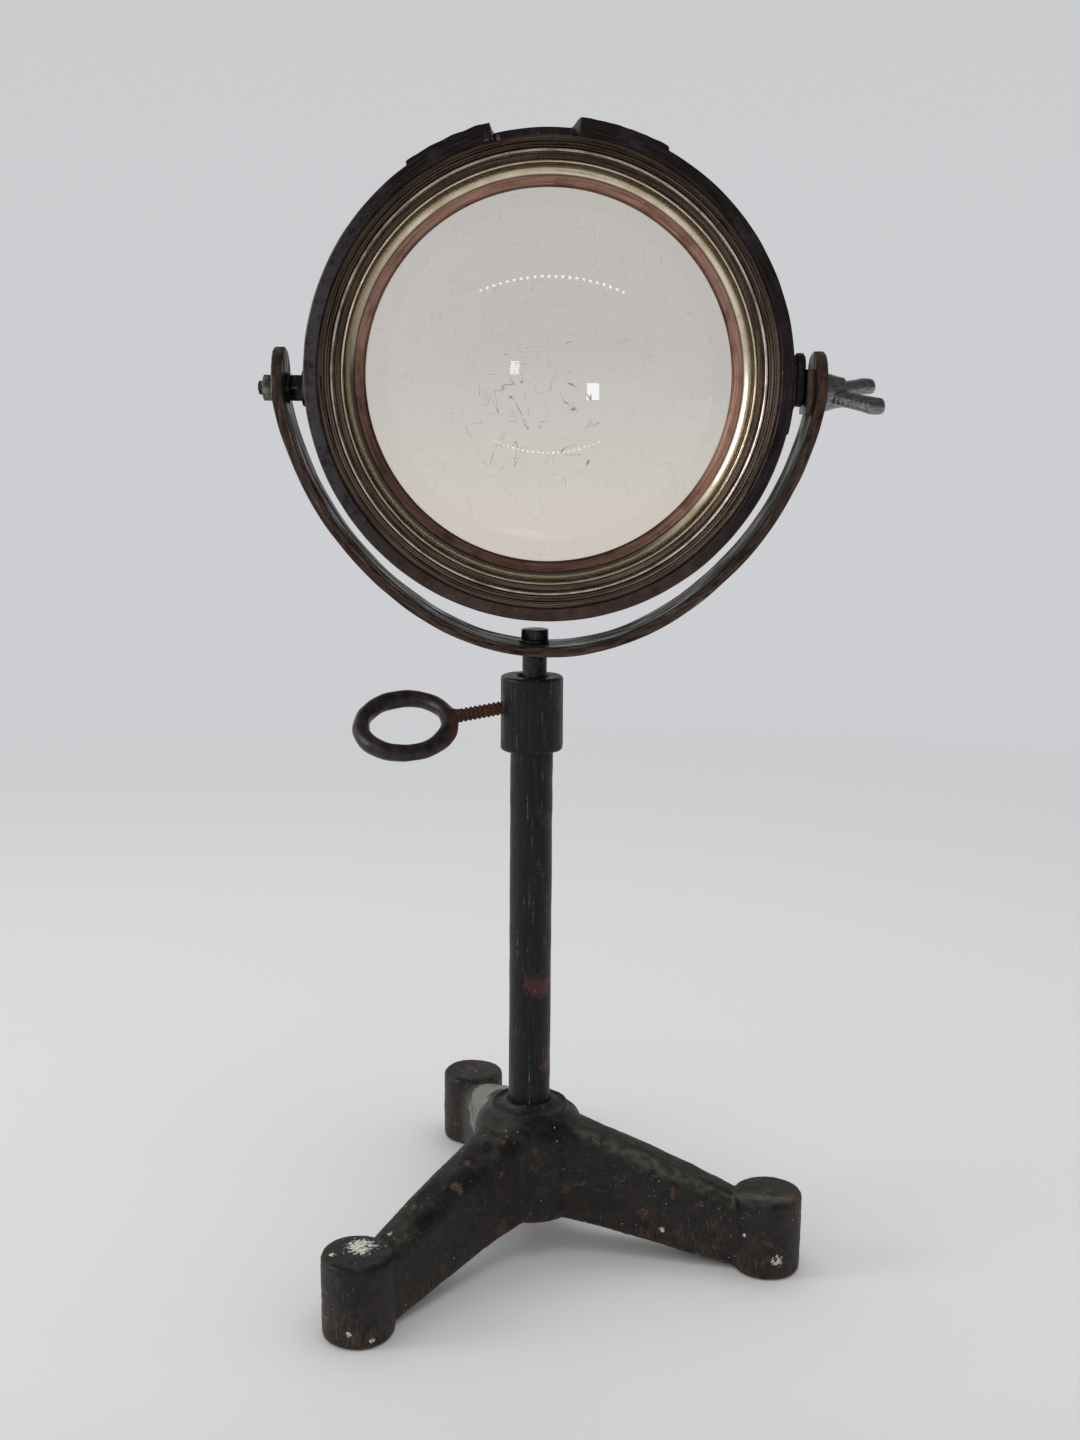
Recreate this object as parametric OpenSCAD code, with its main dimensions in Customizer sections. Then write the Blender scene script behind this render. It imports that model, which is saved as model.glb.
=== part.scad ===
// Magnifying glass on a stand: a large lens in a turned brass cell, hung in a
// strap yoke on a sliding stem, with a cast iron tripod base.
// X is to the right, Y is away from the viewer, Z is up.
// The origin is on the column's axis, on the table.

/* [Lens] */
// Clear opening of the lens
lens_clear_d = 150; // [130:1:180]
// Radius of both convex faces of the lens
lens_face_r = 280; // [240:5:500]
// Thickness of the glass at its rim
lens_rim_t = 4; // [3:0.5:6]

/* [Lens cell] */
// Width of the copper seat ring
seat_ring_w = 4.2; // [3.5:0.1:6]
// Width of the seat ring's back flange, behind the cell's lip
seat_flange_w = 1.2; // [0.8:0.1:1.8]
// Thickness of the seat ring's back flange
seat_flange_t = 1.2; // [0.8:0.1:1.8]
// Width of the polished cove
cove_w = 3.8; // [2:0.1:5]
// Height of the polished cove
cove_h = 6.9; // [5:0.1:7.5]
// Width of the bead round the cove
bead_w = 1.0; // [1:0.1:3]
// Width of the flat step outside the bead
step_w = 2.8; // [1:0.1:5]
// Width of the ringed land
land_w = 4.6; // [3:0.1:7]
// Width of the groove inside the rim
groove_w = 1.9; // [1:0.1:3]
// Width of the bezel's flat front face
rim_w = 5.2; // [4.5:0.1:8]
// Distance of the bezel's front face ahead of the pivots
rim_ahead = 17; // [16:0.5:20]
// Depth of the land below the front face
land_depth = 1.2; // [0.5:0.1:2]
// Depth of the groove below the front face
groove_depth = 3.5; // [2.5:0.1:5]
// Depth of the step below the front face
step_depth = 5.2; // [3.5:0.1:6]
// Depth of the seat ring's front below the front face
seat_depth = 12.5; // [12.2:0.1:14]
// Length of the seat ring from its front to the glass
seat_ring_l = 4; // [3.5:0.1:6]
// Thickness of the packing ring behind the glass
packing_t = 2.4; // [1:0.1:4]
// Thickness of the retaining ring at the back
retainer_t = 2.4; // [1.5:0.1:3]
// Width of the bezel's inside flange at the back
back_flange_w = 5; // [3:0.5:6]
// Thickness of the bezel's inside flange at the back
back_flange_t = 3; // [2:0.5:4]
// Diameter of the small screws
small_screw_d = 3; // [2:0.5:3.5]

/* [Old hinge on the bezel] */
// Direction of the middle of the hinge gap, from the right, anticlockwise
hinge_angle = 93.6; // [80:0.1:100]
// Angle that the hinge gap takes up
hinge_gap_angle = 20.6; // [12:0.1:30]
// Angle that each filed hinge lug takes up
hinge_lug_angle = 21; // [12:0.1:26]
// Height of the lugs above the rim
hinge_lug_h = 1.6; // [1:0.1:2.5]
// Depth of the lugs and of the gap behind the front face
hinge_lug_depth = 9; // [6:0.5:12]
// Diameter of the old hinge pin's hole
hinge_pin_d = 2.4; // [1.5:0.1:3]

/* [Yoke] */
// Width of the strap that the yoke is bent from
strap_w = 27; // [20:0.5:31]
// Thickness of the strap
strap_t = 4.4; // [3:0.1:6]
// How much smaller the radius of the yoke's bottom bend is than the bezel's
bottom_tuck = 4.3; // [2:0.1:8]
// Gap from the bezel's lowest point down to the strap
bottom_gap = 11.2; // [10:0.1:20]
// Height of the lens centre above the pivots
pivot_drop = 4.9; // [2:0.1:7]
// Distance of the stem's hole from the middle of the yoke
stem_hole_offset = 5.2; // [0:0.1:6]
// Height of the arms above the pivots
arm_above_pivot = 16.5; // [13:0.5:24]

/* [Pivots] */
// Diameter of the two pivot studs
stud_d = 6; // [5:0.5:8]
// Diameter of the flat bosses on the bezel's sides
boss_d = 15; // [14:0.5:18]
// Height of the bosses and of the right one's pad above the bezel's side
boss_h = 2.2; // [1.5:0.1:5]
// Angle round the bezel from the right pivot down to the end of the boss's pad
boss_pad_below = 10; // [6:1:15]
// Angle round the bezel from the right pivot up to the end of the boss's pad
boss_pad_above = 6; // [6:1:15]
// Width across the flats of the hexagon nuts
nut_flats = 10.4; // [10:0.1:13]
// Thickness of the inner, thicker nut
nut_t = 5; // [4:0.5:8]
// Thickness of the outer nut
thin_nut_t = 4; // [3:0.1:5]
// Diameter of the washers on the left
washer_d = 12.4; // [11:0.1:16]
// Thickness of the washer inside the left arm
inner_washer_t = 1.8; // [0.6:0.1:3]
// Thickness of the washer outside the left arm
outer_washer_t = 0.8; // [0.5:0.1:2]
// Thickness of the rubber pad on the right
pad_t = 4; // [2:0.1:7]
// Reach of the rubber pad above the pivot
pad_above = 16; // [10:0.5:20]
// Width of the rubber pad
pad_w = 12.6; // [11:0.1:18]
// Side of the square plate on the right
plate_w = 18; // [14:0.5:22]
// Thickness of the square plate
plate_t = 3.4; // [1.5:0.1:5]
// Diameter of the wing nut's hub at the arm
wing_hub_d = 16.5; // [13:0.5:18]
// Diameter of the wing nut's hub at its outer end
wing_hub_tip_d = 12; // [10:0.5:13]
// Length of the wing nut's hub
wing_hub_l = 9; // [7:0.5:14]
// Reach of the wings from the arm
wing_reach = 24; // [18:0.5:30]
// Distance from one wing tip to the other
wing_span = 32; // [28:0.5:44]
// Thickness of the wings
wing_t = 6.4; // [3:0.1:7]
// Turn of the near wing below the level
near_wing_turn = 28; // [0:1:60]
// Turn of the far wing above the level
far_wing_turn = 14; // [0:1:60]

/* [Stem and socket] */
// Diameter of the stem
stem_d = 10.4; // [9:0.1:11]
// Length of the stem
stem_l = 95; // [85:1:140]
// Length of stem that shows between the collar and the yoke
stem_show = 9.1; // [8.8:0.1:30]
// Diameter of the socket's bore, in the collar and the column
socket_bore_d = 13; // [12.4:0.1:14]
// Outer diameter of the collar
collar_d = 26.6; // [24:0.1:34]
// Height of the collar
collar_h = 32; // [28:0.5:45]
// Height of the collar's top above the table
collar_top_z = 255; // [200:1:400]
// Radius of the collar's rounded edges
collar_edge_r = 1.6; // [1:0.1:2.6]
// Length of the column that sits inside the collar
collar_lap = 13; // [10:0.5:13.5]
// Head diameter of the screw that holds the yoke
head_screw_d = 11.5; // [10:0.1:12]
// Head height of the screw that holds the yoke
head_screw_h = 4.5; // [3:0.1:5.5]
// Thickness of the washer under that screw
head_washer_t = 1.4; // [0.8:0.1:2]

/* [Clamp screw] */
// Thread diameter of the clamp screw
clamp_d = 6; // [5:0.5:7]
// Thread pitch of the clamp screw
clamp_pitch = 2; // [0.9:0.1:2.2]
// Depth of the thread
clamp_thread_h = 0.65; // [0.3:0.05:0.8]
// Depth of the clamp screw's axis below the collar's top
clamp_below_top = 11.7; // [9:0.1:12]
// Direction that the clamp screw comes out, from the right, anticlockwise
clamp_angle = 195; // [150:1:210]
// Angle that the clamp screw droops
clamp_droop = 8; // [0:1:8]
// Distance of the eye's centre from the column's axis
eye_reach = 55.2; // [50:0.1:80]
// Outer diameter of the eye
eye_d = 44.8; // [34:0.1:50]
// Thickness of the eye's bar
eye_bar_d = 7.7; // [6:0.1:9]
// Roll of the eye about the screw
eye_roll = 64; // [0:1:180]

/* [Column] */
// Outer diameter of the column
column_d = 18.3; // [17.5:0.1:21]
// Diameter of the threaded spigot under the column
spigot_d = 16; // [15.4:0.1:17]
// Thickness of the nut under the base
base_nut_t = 8; // [6:0.5:9]
// Width across the flats of the nut under the base
base_nut_flats = 22; // [21:0.5:23]
// Thickness of the washer under the base
base_washer_t = 1.6; // [1:0.1:2.5]

/* [Tripod base] */
// Distance of each foot's centre from the column's axis
foot_reach = 107; // [90:1:150]
// Diameter of the feet
foot_d = 29.5; // [24:0.5:34]
// Height of the feet
foot_h = 34.6; // [32:0.1:44]
// Radius of the feet's rounded edges
foot_edge_r = 2.2; // [1.5:0.1:4]
// Direction of the right leg, anticlockwise from the right
right_leg_angle = -15; // [-30:1:10]
// Direction of the rear leg
rear_leg_angle = 105.5; // [90:0.5:130]
// Direction of the left leg
left_leg_angle = 230.5; // [215:0.5:250]
// Diameter of the hub
hub_d = 49; // [46:0.5:60]
// Height of the hub
hub_h = 65; // [62:0.5:75]
// Height of the hub's underside
hub_underside_z = 15.5; // [13:0.5:17]
// Height of the ledge in the hub that the column stands on
column_seat_z = 40; // [38:0.5:44]
// Diameter of the recess under the hub for the nut
nut_room_d = 28; // [27.5:0.5:32]
// Width of a leg at the hub
leg_root_w = 23; // [18:0.5:26]
// Width of a leg at the foot
leg_tip_w = 18; // [14:0.5:22]
// Height of a leg's ridge where it leaves the hub
leg_root_h = 57; // [54:0.5:60]
// Height of a leg's ridge at the foot
leg_tip_h = 32; // [28:0.5:35]
// Height of the arch under a leg at its middle
leg_arch_h = 7.2; // [3:0.1:12]

/* [Hidden] */
$fn = 96;
ring_fn = 180; // segments round the lens cell's rings
edge_fn = 32;  // segments round a small rounded edge

// Clearances
turn_clearance = 0.08;   // between a shaft and the hole that it turns in
thread_clearance = 0.03; // between a thread and its hole
seat_clearance = 0.1;    // between two rings that are fitted together
wall_gap = 0.3;          // between the stem and what it is pushed against
face_gap = 0.1;          // between two flat faces that turn on each other
glass_gap = 0.3;         // round the rim of the glass
glass_seat_gap = 0.05;   // between the glass and the rings that hold it
overlap = 1;             // how far a cutting shape runs past what it cuts
join = 0.5;              // how far two shapes of one piece run into each other

// Radii of the cell, from the glass outwards
lens_clear_r = lens_clear_d / 2;
seat_r = lens_clear_r + seat_ring_w;
cell_r = seat_r + seat_flange_w + seat_clearance;
lens_r = cell_r - glass_gap;
cove_r = seat_r + cove_w;
bead_r = cove_r + bead_w;
step_r = bead_r + step_w;
land_r = step_r + land_w;
bore_r = land_r + groove_w;
bezel_r = bore_r + rim_w;
cove_out_r = bore_r - seat_clearance;

// Places along the lens axis, measured towards the front from the pivots
function sag(r) = lens_face_r - sqrt(pow(lens_face_r, 2) - pow(r, 2));
packing_in_r = lens_clear_r + 1;
land_p = rim_ahead - land_depth;
groove_p = rim_ahead - groove_depth;
step_p = rim_ahead - step_depth;
seat_front_p = rim_ahead - seat_depth;
seat_back_p = seat_front_p - seat_ring_l;
glass_front_p = seat_back_p - (sag(lens_r) - sag(lens_clear_r)) - glass_seat_gap;
glass_back_p = glass_front_p - lens_rim_t;
packing_front_p = glass_back_p - (sag(lens_r) - sag(packing_in_r)) - glass_seat_gap;
flange_p = packing_front_p - packing_t;
back_p = flange_p - back_flange_t;

// Pivots, each measured outwards from the middle of the bezel or of the yoke
boss_x = bezel_r + boss_h;
left_gap = boss_h + nut_t + inner_washer_t + face_gap;
right_gap = boss_h + pad_t + face_gap + plate_t;
arm_in_x = bezel_r + (left_gap + right_gap) / 2;
arm_out_x = arm_in_x + strap_t;
nut_seat_x = arm_out_x + face_gap;
stud_root_x = bore_r + 0.8;
left_stud_tip_x = nut_seat_x + outer_washer_t + thin_nut_t + 2.1;
right_stud_tip_x = nut_seat_x + wing_hub_l - 1;

// Stem and socket
stem_x = (socket_bore_d - stem_d) / 2 - wall_gap;
stem_top_z = collar_top_z + stem_show;
stem_bottom_z = stem_top_z - stem_l;
collar_bottom_z = collar_top_z - collar_h;
column_top_z = collar_bottom_z + collar_lap;
clamp_z = collar_top_z - clamp_below_top;

// Yoke: a bottom bend, a wider bend up each side, then a short bend to upright
bottom_half_angle = 30;
upright_angle = 10;
upright_bend_r = 10;
bottom_r = bezel_r - bottom_tuck;
bottom_centre_z = bottom_r;
side_start = 90 - bottom_half_angle;
upright_centre_x = arm_out_x - upright_bend_r;
side_r = (upright_centre_x + upright_bend_r * cos(upright_angle) - bottom_r * cos(side_start))
       / (cos(upright_angle) - cos(side_start));
side_centre_x = (bottom_r - side_r) * cos(side_start);
side_centre_z = bottom_centre_z - (bottom_r - side_r) * sin(side_start);
upright_centre_z = side_centre_z - (side_r - upright_bend_r) * sin(upright_angle);
pivot_above_yoke = strap_t + bottom_gap + bezel_r - pivot_drop;
arm_top = pivot_above_yoke + arm_above_pivot;
yoke_x = stem_x + stem_hole_offset;
yoke_z = stem_top_z + wall_gap;
pivot_z = yoke_z + pivot_above_yoke;
screw_seat_z = yoke_z + strap_t;
screw_seat_r = head_screw_d / 2 + 1.2;
washer_seat_depth = 0.15; // how deep the washer's seat is cut into the left arm
head_shift = (left_gap - right_gap) / 2;
head_x = yoke_x + head_shift;
head_z = pivot_z + pivot_drop;

// Clamp screw, measured along its own axis from the column's axis
clamp_tip_s = stem_d / 2 - stem_x * cos(clamp_angle - 180) + clamp_d / 2 * sin(clamp_droop) + wall_gap;
clamp_root_s = eye_reach - eye_d / 2;
clamp_core_r = clamp_d / 2 - clamp_thread_h;
clamp_turns = floor((clamp_root_s - clamp_tip_s - 2) / clamp_pitch);

// Base
spigot_end_z = hub_underside_z + 2;
nut_bottom_z = spigot_end_z + 1.4;
base_washer_z = nut_bottom_z + base_nut_t;
web_z = base_washer_z + base_washer_t;
leg_root_s = hub_d / 2 - 4;
leg_bulge = 1.5; // rise of a leg's top at its middle above a straight line
leg_mid_s = foot_reach / 2;
leg_tip_s = foot_reach - foot_d / 2 + 2;
leg_slice = 0.2;

// A ring's cross-section, from one radius to another
module band(r_in, r_out, low, high) {
  translate([r_in, low]) square([r_out - r_in, high - low]);
}

// Half of a round bar's cross-section, with rounded outer edges
module rounded_bar_profile(r, h, edge_r) {
  band(0, r, edge_r, h - edge_r);
  band(0, r - edge_r, 0, h);
  for (z = [edge_r, h - edge_r]) translate([r - edge_r, z]) circle(edge_r, $fn = edge_fn);
}

module bored(h, bore_d) {
  difference() {
    children();
    translate([0, 0, -overlap]) cylinder(d = bore_d, h = h + 2 * overlap);
  }
}

module hex_nut(flats, t, bore_d) {
  bored(t, bore_d) rotate([0, 0, 30]) cylinder(d = flats / cos(30), h = t, $fn = 6);
}

module washer(d, t, bore_d) {
  bored(t, bore_d) cylinder(d = d, h = t);
}

// Places a piece on the lens axis, with its own Z towards the front
module on_lens_axis() {
  translate([head_x, 0, head_z]) rotate([90, 0, 0]) children();
}

// Places a piece on a pivot of the bezel, with its own Z outwards
module on_bezel_pivot(side) {
  translate([head_x, 0, pivot_z]) rotate([0, side * 90, 0]) children();
}

// Places a piece on a pivot of the yoke, with its own Z outwards
module on_yoke_pivot(side) {
  translate([yoke_x, 0, pivot_z]) rotate([0, side * 90, 0]) children();
}

// Places a piece on the clamp screw's axis, with its own Z outwards
module on_clamp_axis() {
  translate([0, 0, clamp_z]) rotate([0, 0, clamp_angle]) rotate([0, 90 + clamp_droop, 0]) children();
}

// A thin upright slice of a leg with a round top
module leg_section(s, w, low, high) {
  translate([s, 0, 0]) rotate([90, 0, 90]) linear_extrude(leg_slice) {
    translate([0, high - w / 2]) circle(w / 2, $fn = edge_fn);
    translate([-w / 2, low]) square([w, high - w / 2 - low]);
  }
}

module leg(angle) {
  middle_w = (leg_root_w + leg_tip_w) / 2;
  middle_h = (leg_root_h + leg_tip_h) / 2 + leg_bulge;
  rotate([0, 0, angle]) {
    hull() {
      leg_section(leg_root_s, leg_root_w, hub_underside_z - 1, leg_root_h);
      leg_section(leg_mid_s, middle_w, leg_arch_h, middle_h);
    }
    hull() {
      leg_section(leg_mid_s, middle_w, leg_arch_h, middle_h);
      leg_section(leg_tip_s, leg_tip_w, 0.6, leg_tip_h);
    }
  }
}

module foot(angle) {
  rotate([0, 0, angle]) translate([foot_reach, 0, 0])
    rotate_extrude() rounded_bar_profile(foot_d / 2, foot_h, foot_edge_r);
}

// The hub has a domed shoulder, a turned step and a small fillet round the column
module hub_profile() {
  r = hub_d / 2;
  fillet_r = column_d / 2 + 1.4;
  polygon([
    [0, hub_underside_z], [r - 2, hub_underside_z], [r, hub_underside_z + 4],
    [r, hub_h - 14], [r - 0.6, hub_h - 10], [r - 3.4, hub_h - 6.2],
    [r - 6.8, hub_h - 3.8], [r - 8, hub_h - 3.2], [r - 8.2, hub_h - 2.4],
    [r - 11, hub_h - 1.4], [fillet_r, hub_h], [0, hub_h]
  ]);
}

module tripod_base() {
  nut_room_z = hub_underside_z - 3 * overlap;
  color("#2b2d2c") difference() {
    union() {
      rotate_extrude() hub_profile();
      for (angle = [right_leg_angle, rear_leg_angle, left_leg_angle]) {
        leg(angle);
        foot(angle);
      }
    }
    translate([0, 0, column_seat_z]) cylinder(d = column_d + 2 * thread_clearance, h = hub_h);
    translate([0, 0, hub_underside_z]) cylinder(d = spigot_d + 2 * thread_clearance, h = hub_h);
    translate([0, 0, nut_room_z]) cylinder(d = nut_room_d, h = web_z - nut_room_z);
  }
}

module column_tube() {
  color("#1f2122") difference() {
    union() {
      translate([0, 0, column_seat_z]) cylinder(d = column_d, h = column_top_z - column_seat_z);
      translate([0, 0, spigot_end_z]) cylinder(d = spigot_d, h = column_seat_z - spigot_end_z + join);
    }
    translate([0, 0, spigot_end_z - overlap])
      cylinder(d = socket_bore_d, h = column_top_z - spigot_end_z + 2 * overlap);
  }
}

module base_washer() {
  color("#3a3a38") translate([0, 0, base_washer_z])
    washer(nut_room_d - 1, base_washer_t, spigot_d + 2 * thread_clearance);
}

module base_nut() {
  color("#4a4741") translate([0, 0, nut_bottom_z])
    hex_nut(base_nut_flats, base_nut_t, spigot_d + 2 * thread_clearance);
}

module socket_collar() {
  color("#232626") difference() {
    translate([0, 0, collar_bottom_z]) rotate_extrude()
      rounded_bar_profile(collar_d / 2, collar_h, collar_edge_r);
    translate([0, 0, collar_bottom_z - overlap])
      cylinder(d = column_d + 2 * thread_clearance, h = collar_lap + overlap);
    translate([0, 0, collar_bottom_z - overlap])
      cylinder(d = socket_bore_d, h = collar_h + 2 * overlap);
    on_clamp_axis() cylinder(d = clamp_d + 2 * turn_clearance, h = collar_d);
  }
}

module clamp_screw() {
  crest = [clamp_pitch * 0.38, clamp_pitch * 0.5];
  ridge_end = clamp_pitch * 0.9;
  color("#3a2c26") on_clamp_axis() {
    rotate_extrude() {
      band(0, clamp_core_r, clamp_tip_s, clamp_root_s + join);
      for (turn = [0 : clamp_turns - 1]) translate([0, clamp_tip_s + 0.4 + turn * clamp_pitch])
        polygon([
          [0, 0], [clamp_core_r, 0], [clamp_d / 2, crest[0]],
          [clamp_d / 2, crest[1]], [clamp_core_r, ridge_end], [0, ridge_end]
        ]);
    }
    translate([0, 0, clamp_root_s - 1.4]) cylinder(d1 = clamp_d, d2 = eye_bar_d * 0.9, h = 4);
    translate([0, 0, eye_reach]) rotate([0, 0, eye_roll]) rotate([90, 0, 0])
      rotate_extrude() translate([(eye_d - eye_bar_d) / 2, 0]) circle(d = eye_bar_d, $fn = 48);
  }
}

module stem_rod() {
  screw_hole_l = 14;
  color("#191b1c") translate([stem_x, 0, stem_bottom_z]) difference() {
    rotate_extrude() {
      band(0, stem_d / 2, 1, stem_l);
      band(0, stem_d / 2 - 1, 0, 2);
      translate([stem_d / 2 - 1, 1]) circle(1, $fn = edge_fn);
    }
    translate([0, 0, stem_l - screw_hole_l])
      cylinder(d = stud_d + 2 * thread_clearance, h = screw_hole_l + overlap);
  }
}

module yoke_screw() {
  shank_below_stem_top = 12;
  slot_w = 1.4;
  slot_depth = 2;
  head_z0 = screw_seat_z + face_gap + head_washer_t;
  shank_z0 = stem_top_z - shank_below_stem_top;
  color("#17181a") translate([stem_x, 0, 0]) difference() {
    union() {
      translate([0, 0, head_z0]) rotate_extrude()
        rounded_bar_profile(head_screw_d / 2, head_screw_h, 0.6);
      translate([0, 0, shank_z0]) cylinder(d = stud_d, h = head_z0 - shank_z0 + join);
    }
    translate([-head_screw_d, -slot_w / 2, head_z0 + head_screw_h - slot_depth])
      cube([2 * head_screw_d, slot_w, slot_depth + overlap]);
  }
}

module yoke_screw_washer() {
  color("#2a2725") translate([stem_x, 0, screw_seat_z + face_gap])
    washer(head_screw_d + 0.8, head_washer_t, stud_d + 2 * thread_clearance);
}

// Part of a flat ring between two directions
module arc_band(r_out, t, from_angle, to_angle) {
  reach = 2 * r_out;
  middle = (from_angle + to_angle) / 2;
  intersection() {
    difference() {
      circle(r_out, $fn = 360);
      circle(r_out - t, $fn = 360);
    }
    polygon([
      [0, 0], reach * [cos(from_angle), sin(from_angle)],
      1.3 * reach * [cos(middle), sin(middle)], reach * [cos(to_angle), sin(to_angle)]
    ]);
  }
}

// Half of the yoke seen from the front; the pieces share a hair of angle where they meet
module half_yoke_outline(t) {
  hair = 0.02;
  translate([0, bottom_centre_z]) arc_band(bottom_r, t, -90 - hair, -side_start + hair);
  translate([side_centre_x, side_centre_z]) arc_band(side_r, t, -side_start, -upright_angle + hair);
  translate([upright_centre_x, upright_centre_z]) arc_band(upright_bend_r, t, -upright_angle, hair);
  translate([arm_out_x - t, upright_centre_z]) square([t, arm_top - upright_centre_z]);
}

// The same, extruded to the strap's width
module half_yoke(t) {
  translate([0, strap_w / 2, 0]) rotate([90, 0, 0]) linear_extrude(strap_w) half_yoke_outline(t);
}

// The strap seen from the side, with round ends at the top of the arms
module strap_side_view() {
  end_z = arm_top - strap_w / 2;
  translate([-strap_w / 2, -overlap]) square([strap_w, end_z + overlap]);
  translate([0, end_z]) circle(d = strap_w);
}

module yoke() {
  half_l = arm_out_x + overlap;
  color("#4b3f3a") difference() {
    translate([yoke_x, 0, yoke_z]) intersection() {
      union() {
        half_yoke(strap_t);
        mirror([1, 0, 0]) half_yoke(strap_t);
      }
      translate([-half_l, 0, 0]) rotate([90, 0, 90]) linear_extrude(2 * half_l) strap_side_view();
    }
    translate([stem_x, 0, yoke_z - overlap])
      cylinder(d = stud_d + 2 * turn_clearance, h = strap_t + 3 * overlap);
    translate([stem_x, 0, screw_seat_z]) cylinder(r = screw_seat_r, h = 3 * overlap);
    for (side = [-1, 1]) on_yoke_pivot(side) translate([0, 0, arm_in_x - overlap])
      cylinder(d = stud_d + 2 * turn_clearance, h = strap_t + 2 * overlap);
    // A flat seat for the washer inside the left arm, which curves inwards below the pivot
    on_yoke_pivot(-1) translate([0, 0, arm_in_x - 2 * overlap])
      cylinder(r = washer_d / 2 + wall_gap, h = 2 * overlap + washer_seat_depth);
  }
}

// The plate's outer face is fitted to the curve of the arm
module pivot_plate() {
  color("#5b4330") difference() {
    on_yoke_pivot(1) translate([0, 0, arm_in_x - plate_t])
      bored(plate_t, stud_d + 2 * turn_clearance)
        translate([-plate_w / 2, -plate_w / 2, 0]) cube([plate_w, plate_w, plate_t]);
    translate([yoke_x, 0, yoke_z]) half_yoke(strap_t + seat_clearance);
  }
}

module bezel_profile() {
  polygon([
    [bore_r - back_flange_w, back_p], [bezel_r - 1, back_p], [bezel_r, back_p + 1],
    [bezel_r, rim_ahead - 0.6], [bezel_r - 0.6, rim_ahead], [bore_r + 0.3, rim_ahead],
    [bore_r, rim_ahead - 0.3], [bore_r, flange_p], [bore_r - back_flange_w, flange_p]
  ]);
}

// A piece of a ring that starts at one direction and spans an angle
module ring_part(start, span, r_in, r_out, low, high) {
  rotate([0, 0, start]) rotate_extrude(angle = span) band(r_in, r_out, low, high);
}

module bezel_ring() {
  trim = 2; // angle by which each lug runs into the gap before the gap is cut
  gap_start = hinge_angle - hinge_gap_angle / 2;
  gap_end = gap_start + hinge_gap_angle;
  pin_angle = gap_end - 1.2;
  pin_r = bore_r + 1.9;
  lug_back_p = rim_ahead - hinge_lug_depth;
  pad_half_w = boss_d / 2 + 1.5;
  pivot_direction = asin(pivot_drop / bezel_r);
  color("#3b2f28") difference() {
    union() {
      on_lens_axis() {
        rotate_extrude($fn = ring_fn) bezel_profile();
        for (start = [gap_end - trim, gap_start - hinge_lug_angle])
          ring_part(start, hinge_lug_angle + trim, bezel_r - 2, bezel_r + hinge_lug_h, lug_back_p,
                    rim_ahead);
        ring_part(-pivot_direction - boss_pad_below, boss_pad_below + boss_pad_above, bezel_r - 2,
                  boss_x - 0.4, -pad_half_w, pad_half_w);
      }
      for (side = [-1, 1]) on_bezel_pivot(side) translate([0, 0, bezel_r - 4])
        cylinder(d = boss_d, h = boss_x - bezel_r + 4);
    }
    on_lens_axis() {
      ring_part(gap_start, hinge_gap_angle, bore_r - overlap, bezel_r + 3 * overlap, lug_back_p,
                rim_ahead + overlap);
      ring_part(gap_start, hinge_gap_angle, bezel_r - 1.6, bezel_r + 3 * overlap, back_p - overlap,
                lug_back_p + overlap);
      rotate([0, 0, pin_angle]) translate([pin_r, 0, back_p - overlap])
        cylinder(d = hinge_pin_d, h = rim_ahead - back_p);
      grub_screw_holes();
    }
    for (side = [-1, 1]) on_bezel_pivot(side) translate([0, 0, stud_root_x])
      cylinder(d = stud_d + 2 * thread_clearance, h = boss_x);
  }
}

// The three small screws that lock the cell in the bezel, each with its own Z outwards
module at_grub_screws() {
  grub_depth = 2.6;
  for (angle = [40, 160, 280]) rotate([0, 0, angle]) translate([bore_r - grub_depth, 0, 0])
    rotate([0, 90, 0]) children();
}

module grub_screw_holes() {
  at_grub_screws() cylinder(d = small_screw_d + 2 * thread_clearance, h = rim_w + 6);
}

module cell_grub_screws() {
  grub_l = rim_w + 2.2;
  slot_w = 0.6;
  slot_depth = 0.8;
  color("#6b5a3c") on_lens_axis() at_grub_screws() difference() {
    cylinder(d = small_screw_d, h = grub_l);
    translate([-slot_w / 2, -small_screw_d, grub_l - slot_depth])
      cube([slot_w, 2 * small_screw_d, slot_depth + overlap]);
  }
}

// The turned brass cell: ringed land, step, bead and cove, down to the lip over the seat ring
module cove_profile() {
  lip_r = seat_r + seat_clearance;
  lip_p = seat_back_p + seat_flange_t + seat_clearance;
  land_ring = 0.5;
  cove_low_p = step_p - cove_h;
  cove_curve_r = (pow(cove_w, 2) + pow(cove_h, 2)) / (2 * cove_w);
  difference() {
    union() {
      polygon([
        [cell_r, flange_p], [cove_out_r, flange_p], [cove_out_r, groove_p], [land_r, groove_p],
        [land_r, land_p - land_ring], [land_r - 1, land_p - land_ring], [land_r - 1.2, land_p],
        [step_r + 1.6, land_p], [step_r + 1.4, land_p - land_ring], [step_r, land_p - land_ring],
        [step_r, step_p], [cove_r, step_p], [cove_r, cove_low_p], [lip_r, cove_low_p],
        [lip_r, lip_p], [cell_r, lip_p]
      ]);
      translate([cove_r + bead_w / 2, step_p]) circle(bead_w / 2, $fn = edge_fn);
      band(lip_r, cove_r + join, cove_low_p - join, step_p - join);
    }
    translate([cove_r - cove_curve_r, step_p]) circle(cove_curve_r, $fn = 120);
  }
}

module cove_ring() {
  color("#8d7a4b") on_lens_axis() difference() {
    rotate_extrude($fn = ring_fn) cove_profile();
    grub_screw_holes();
    retaining_screw_holes();
  }
}

// The four small screws of the retaining ring, each with its own Z towards the front
module at_retaining_screws() {
  for (angle = [45 : 90 : 315]) rotate([0, 0, angle])
    translate([(cell_r + bore_r - back_flange_w) / 2, 0, flange_p - retainer_t]) children();
}

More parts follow.
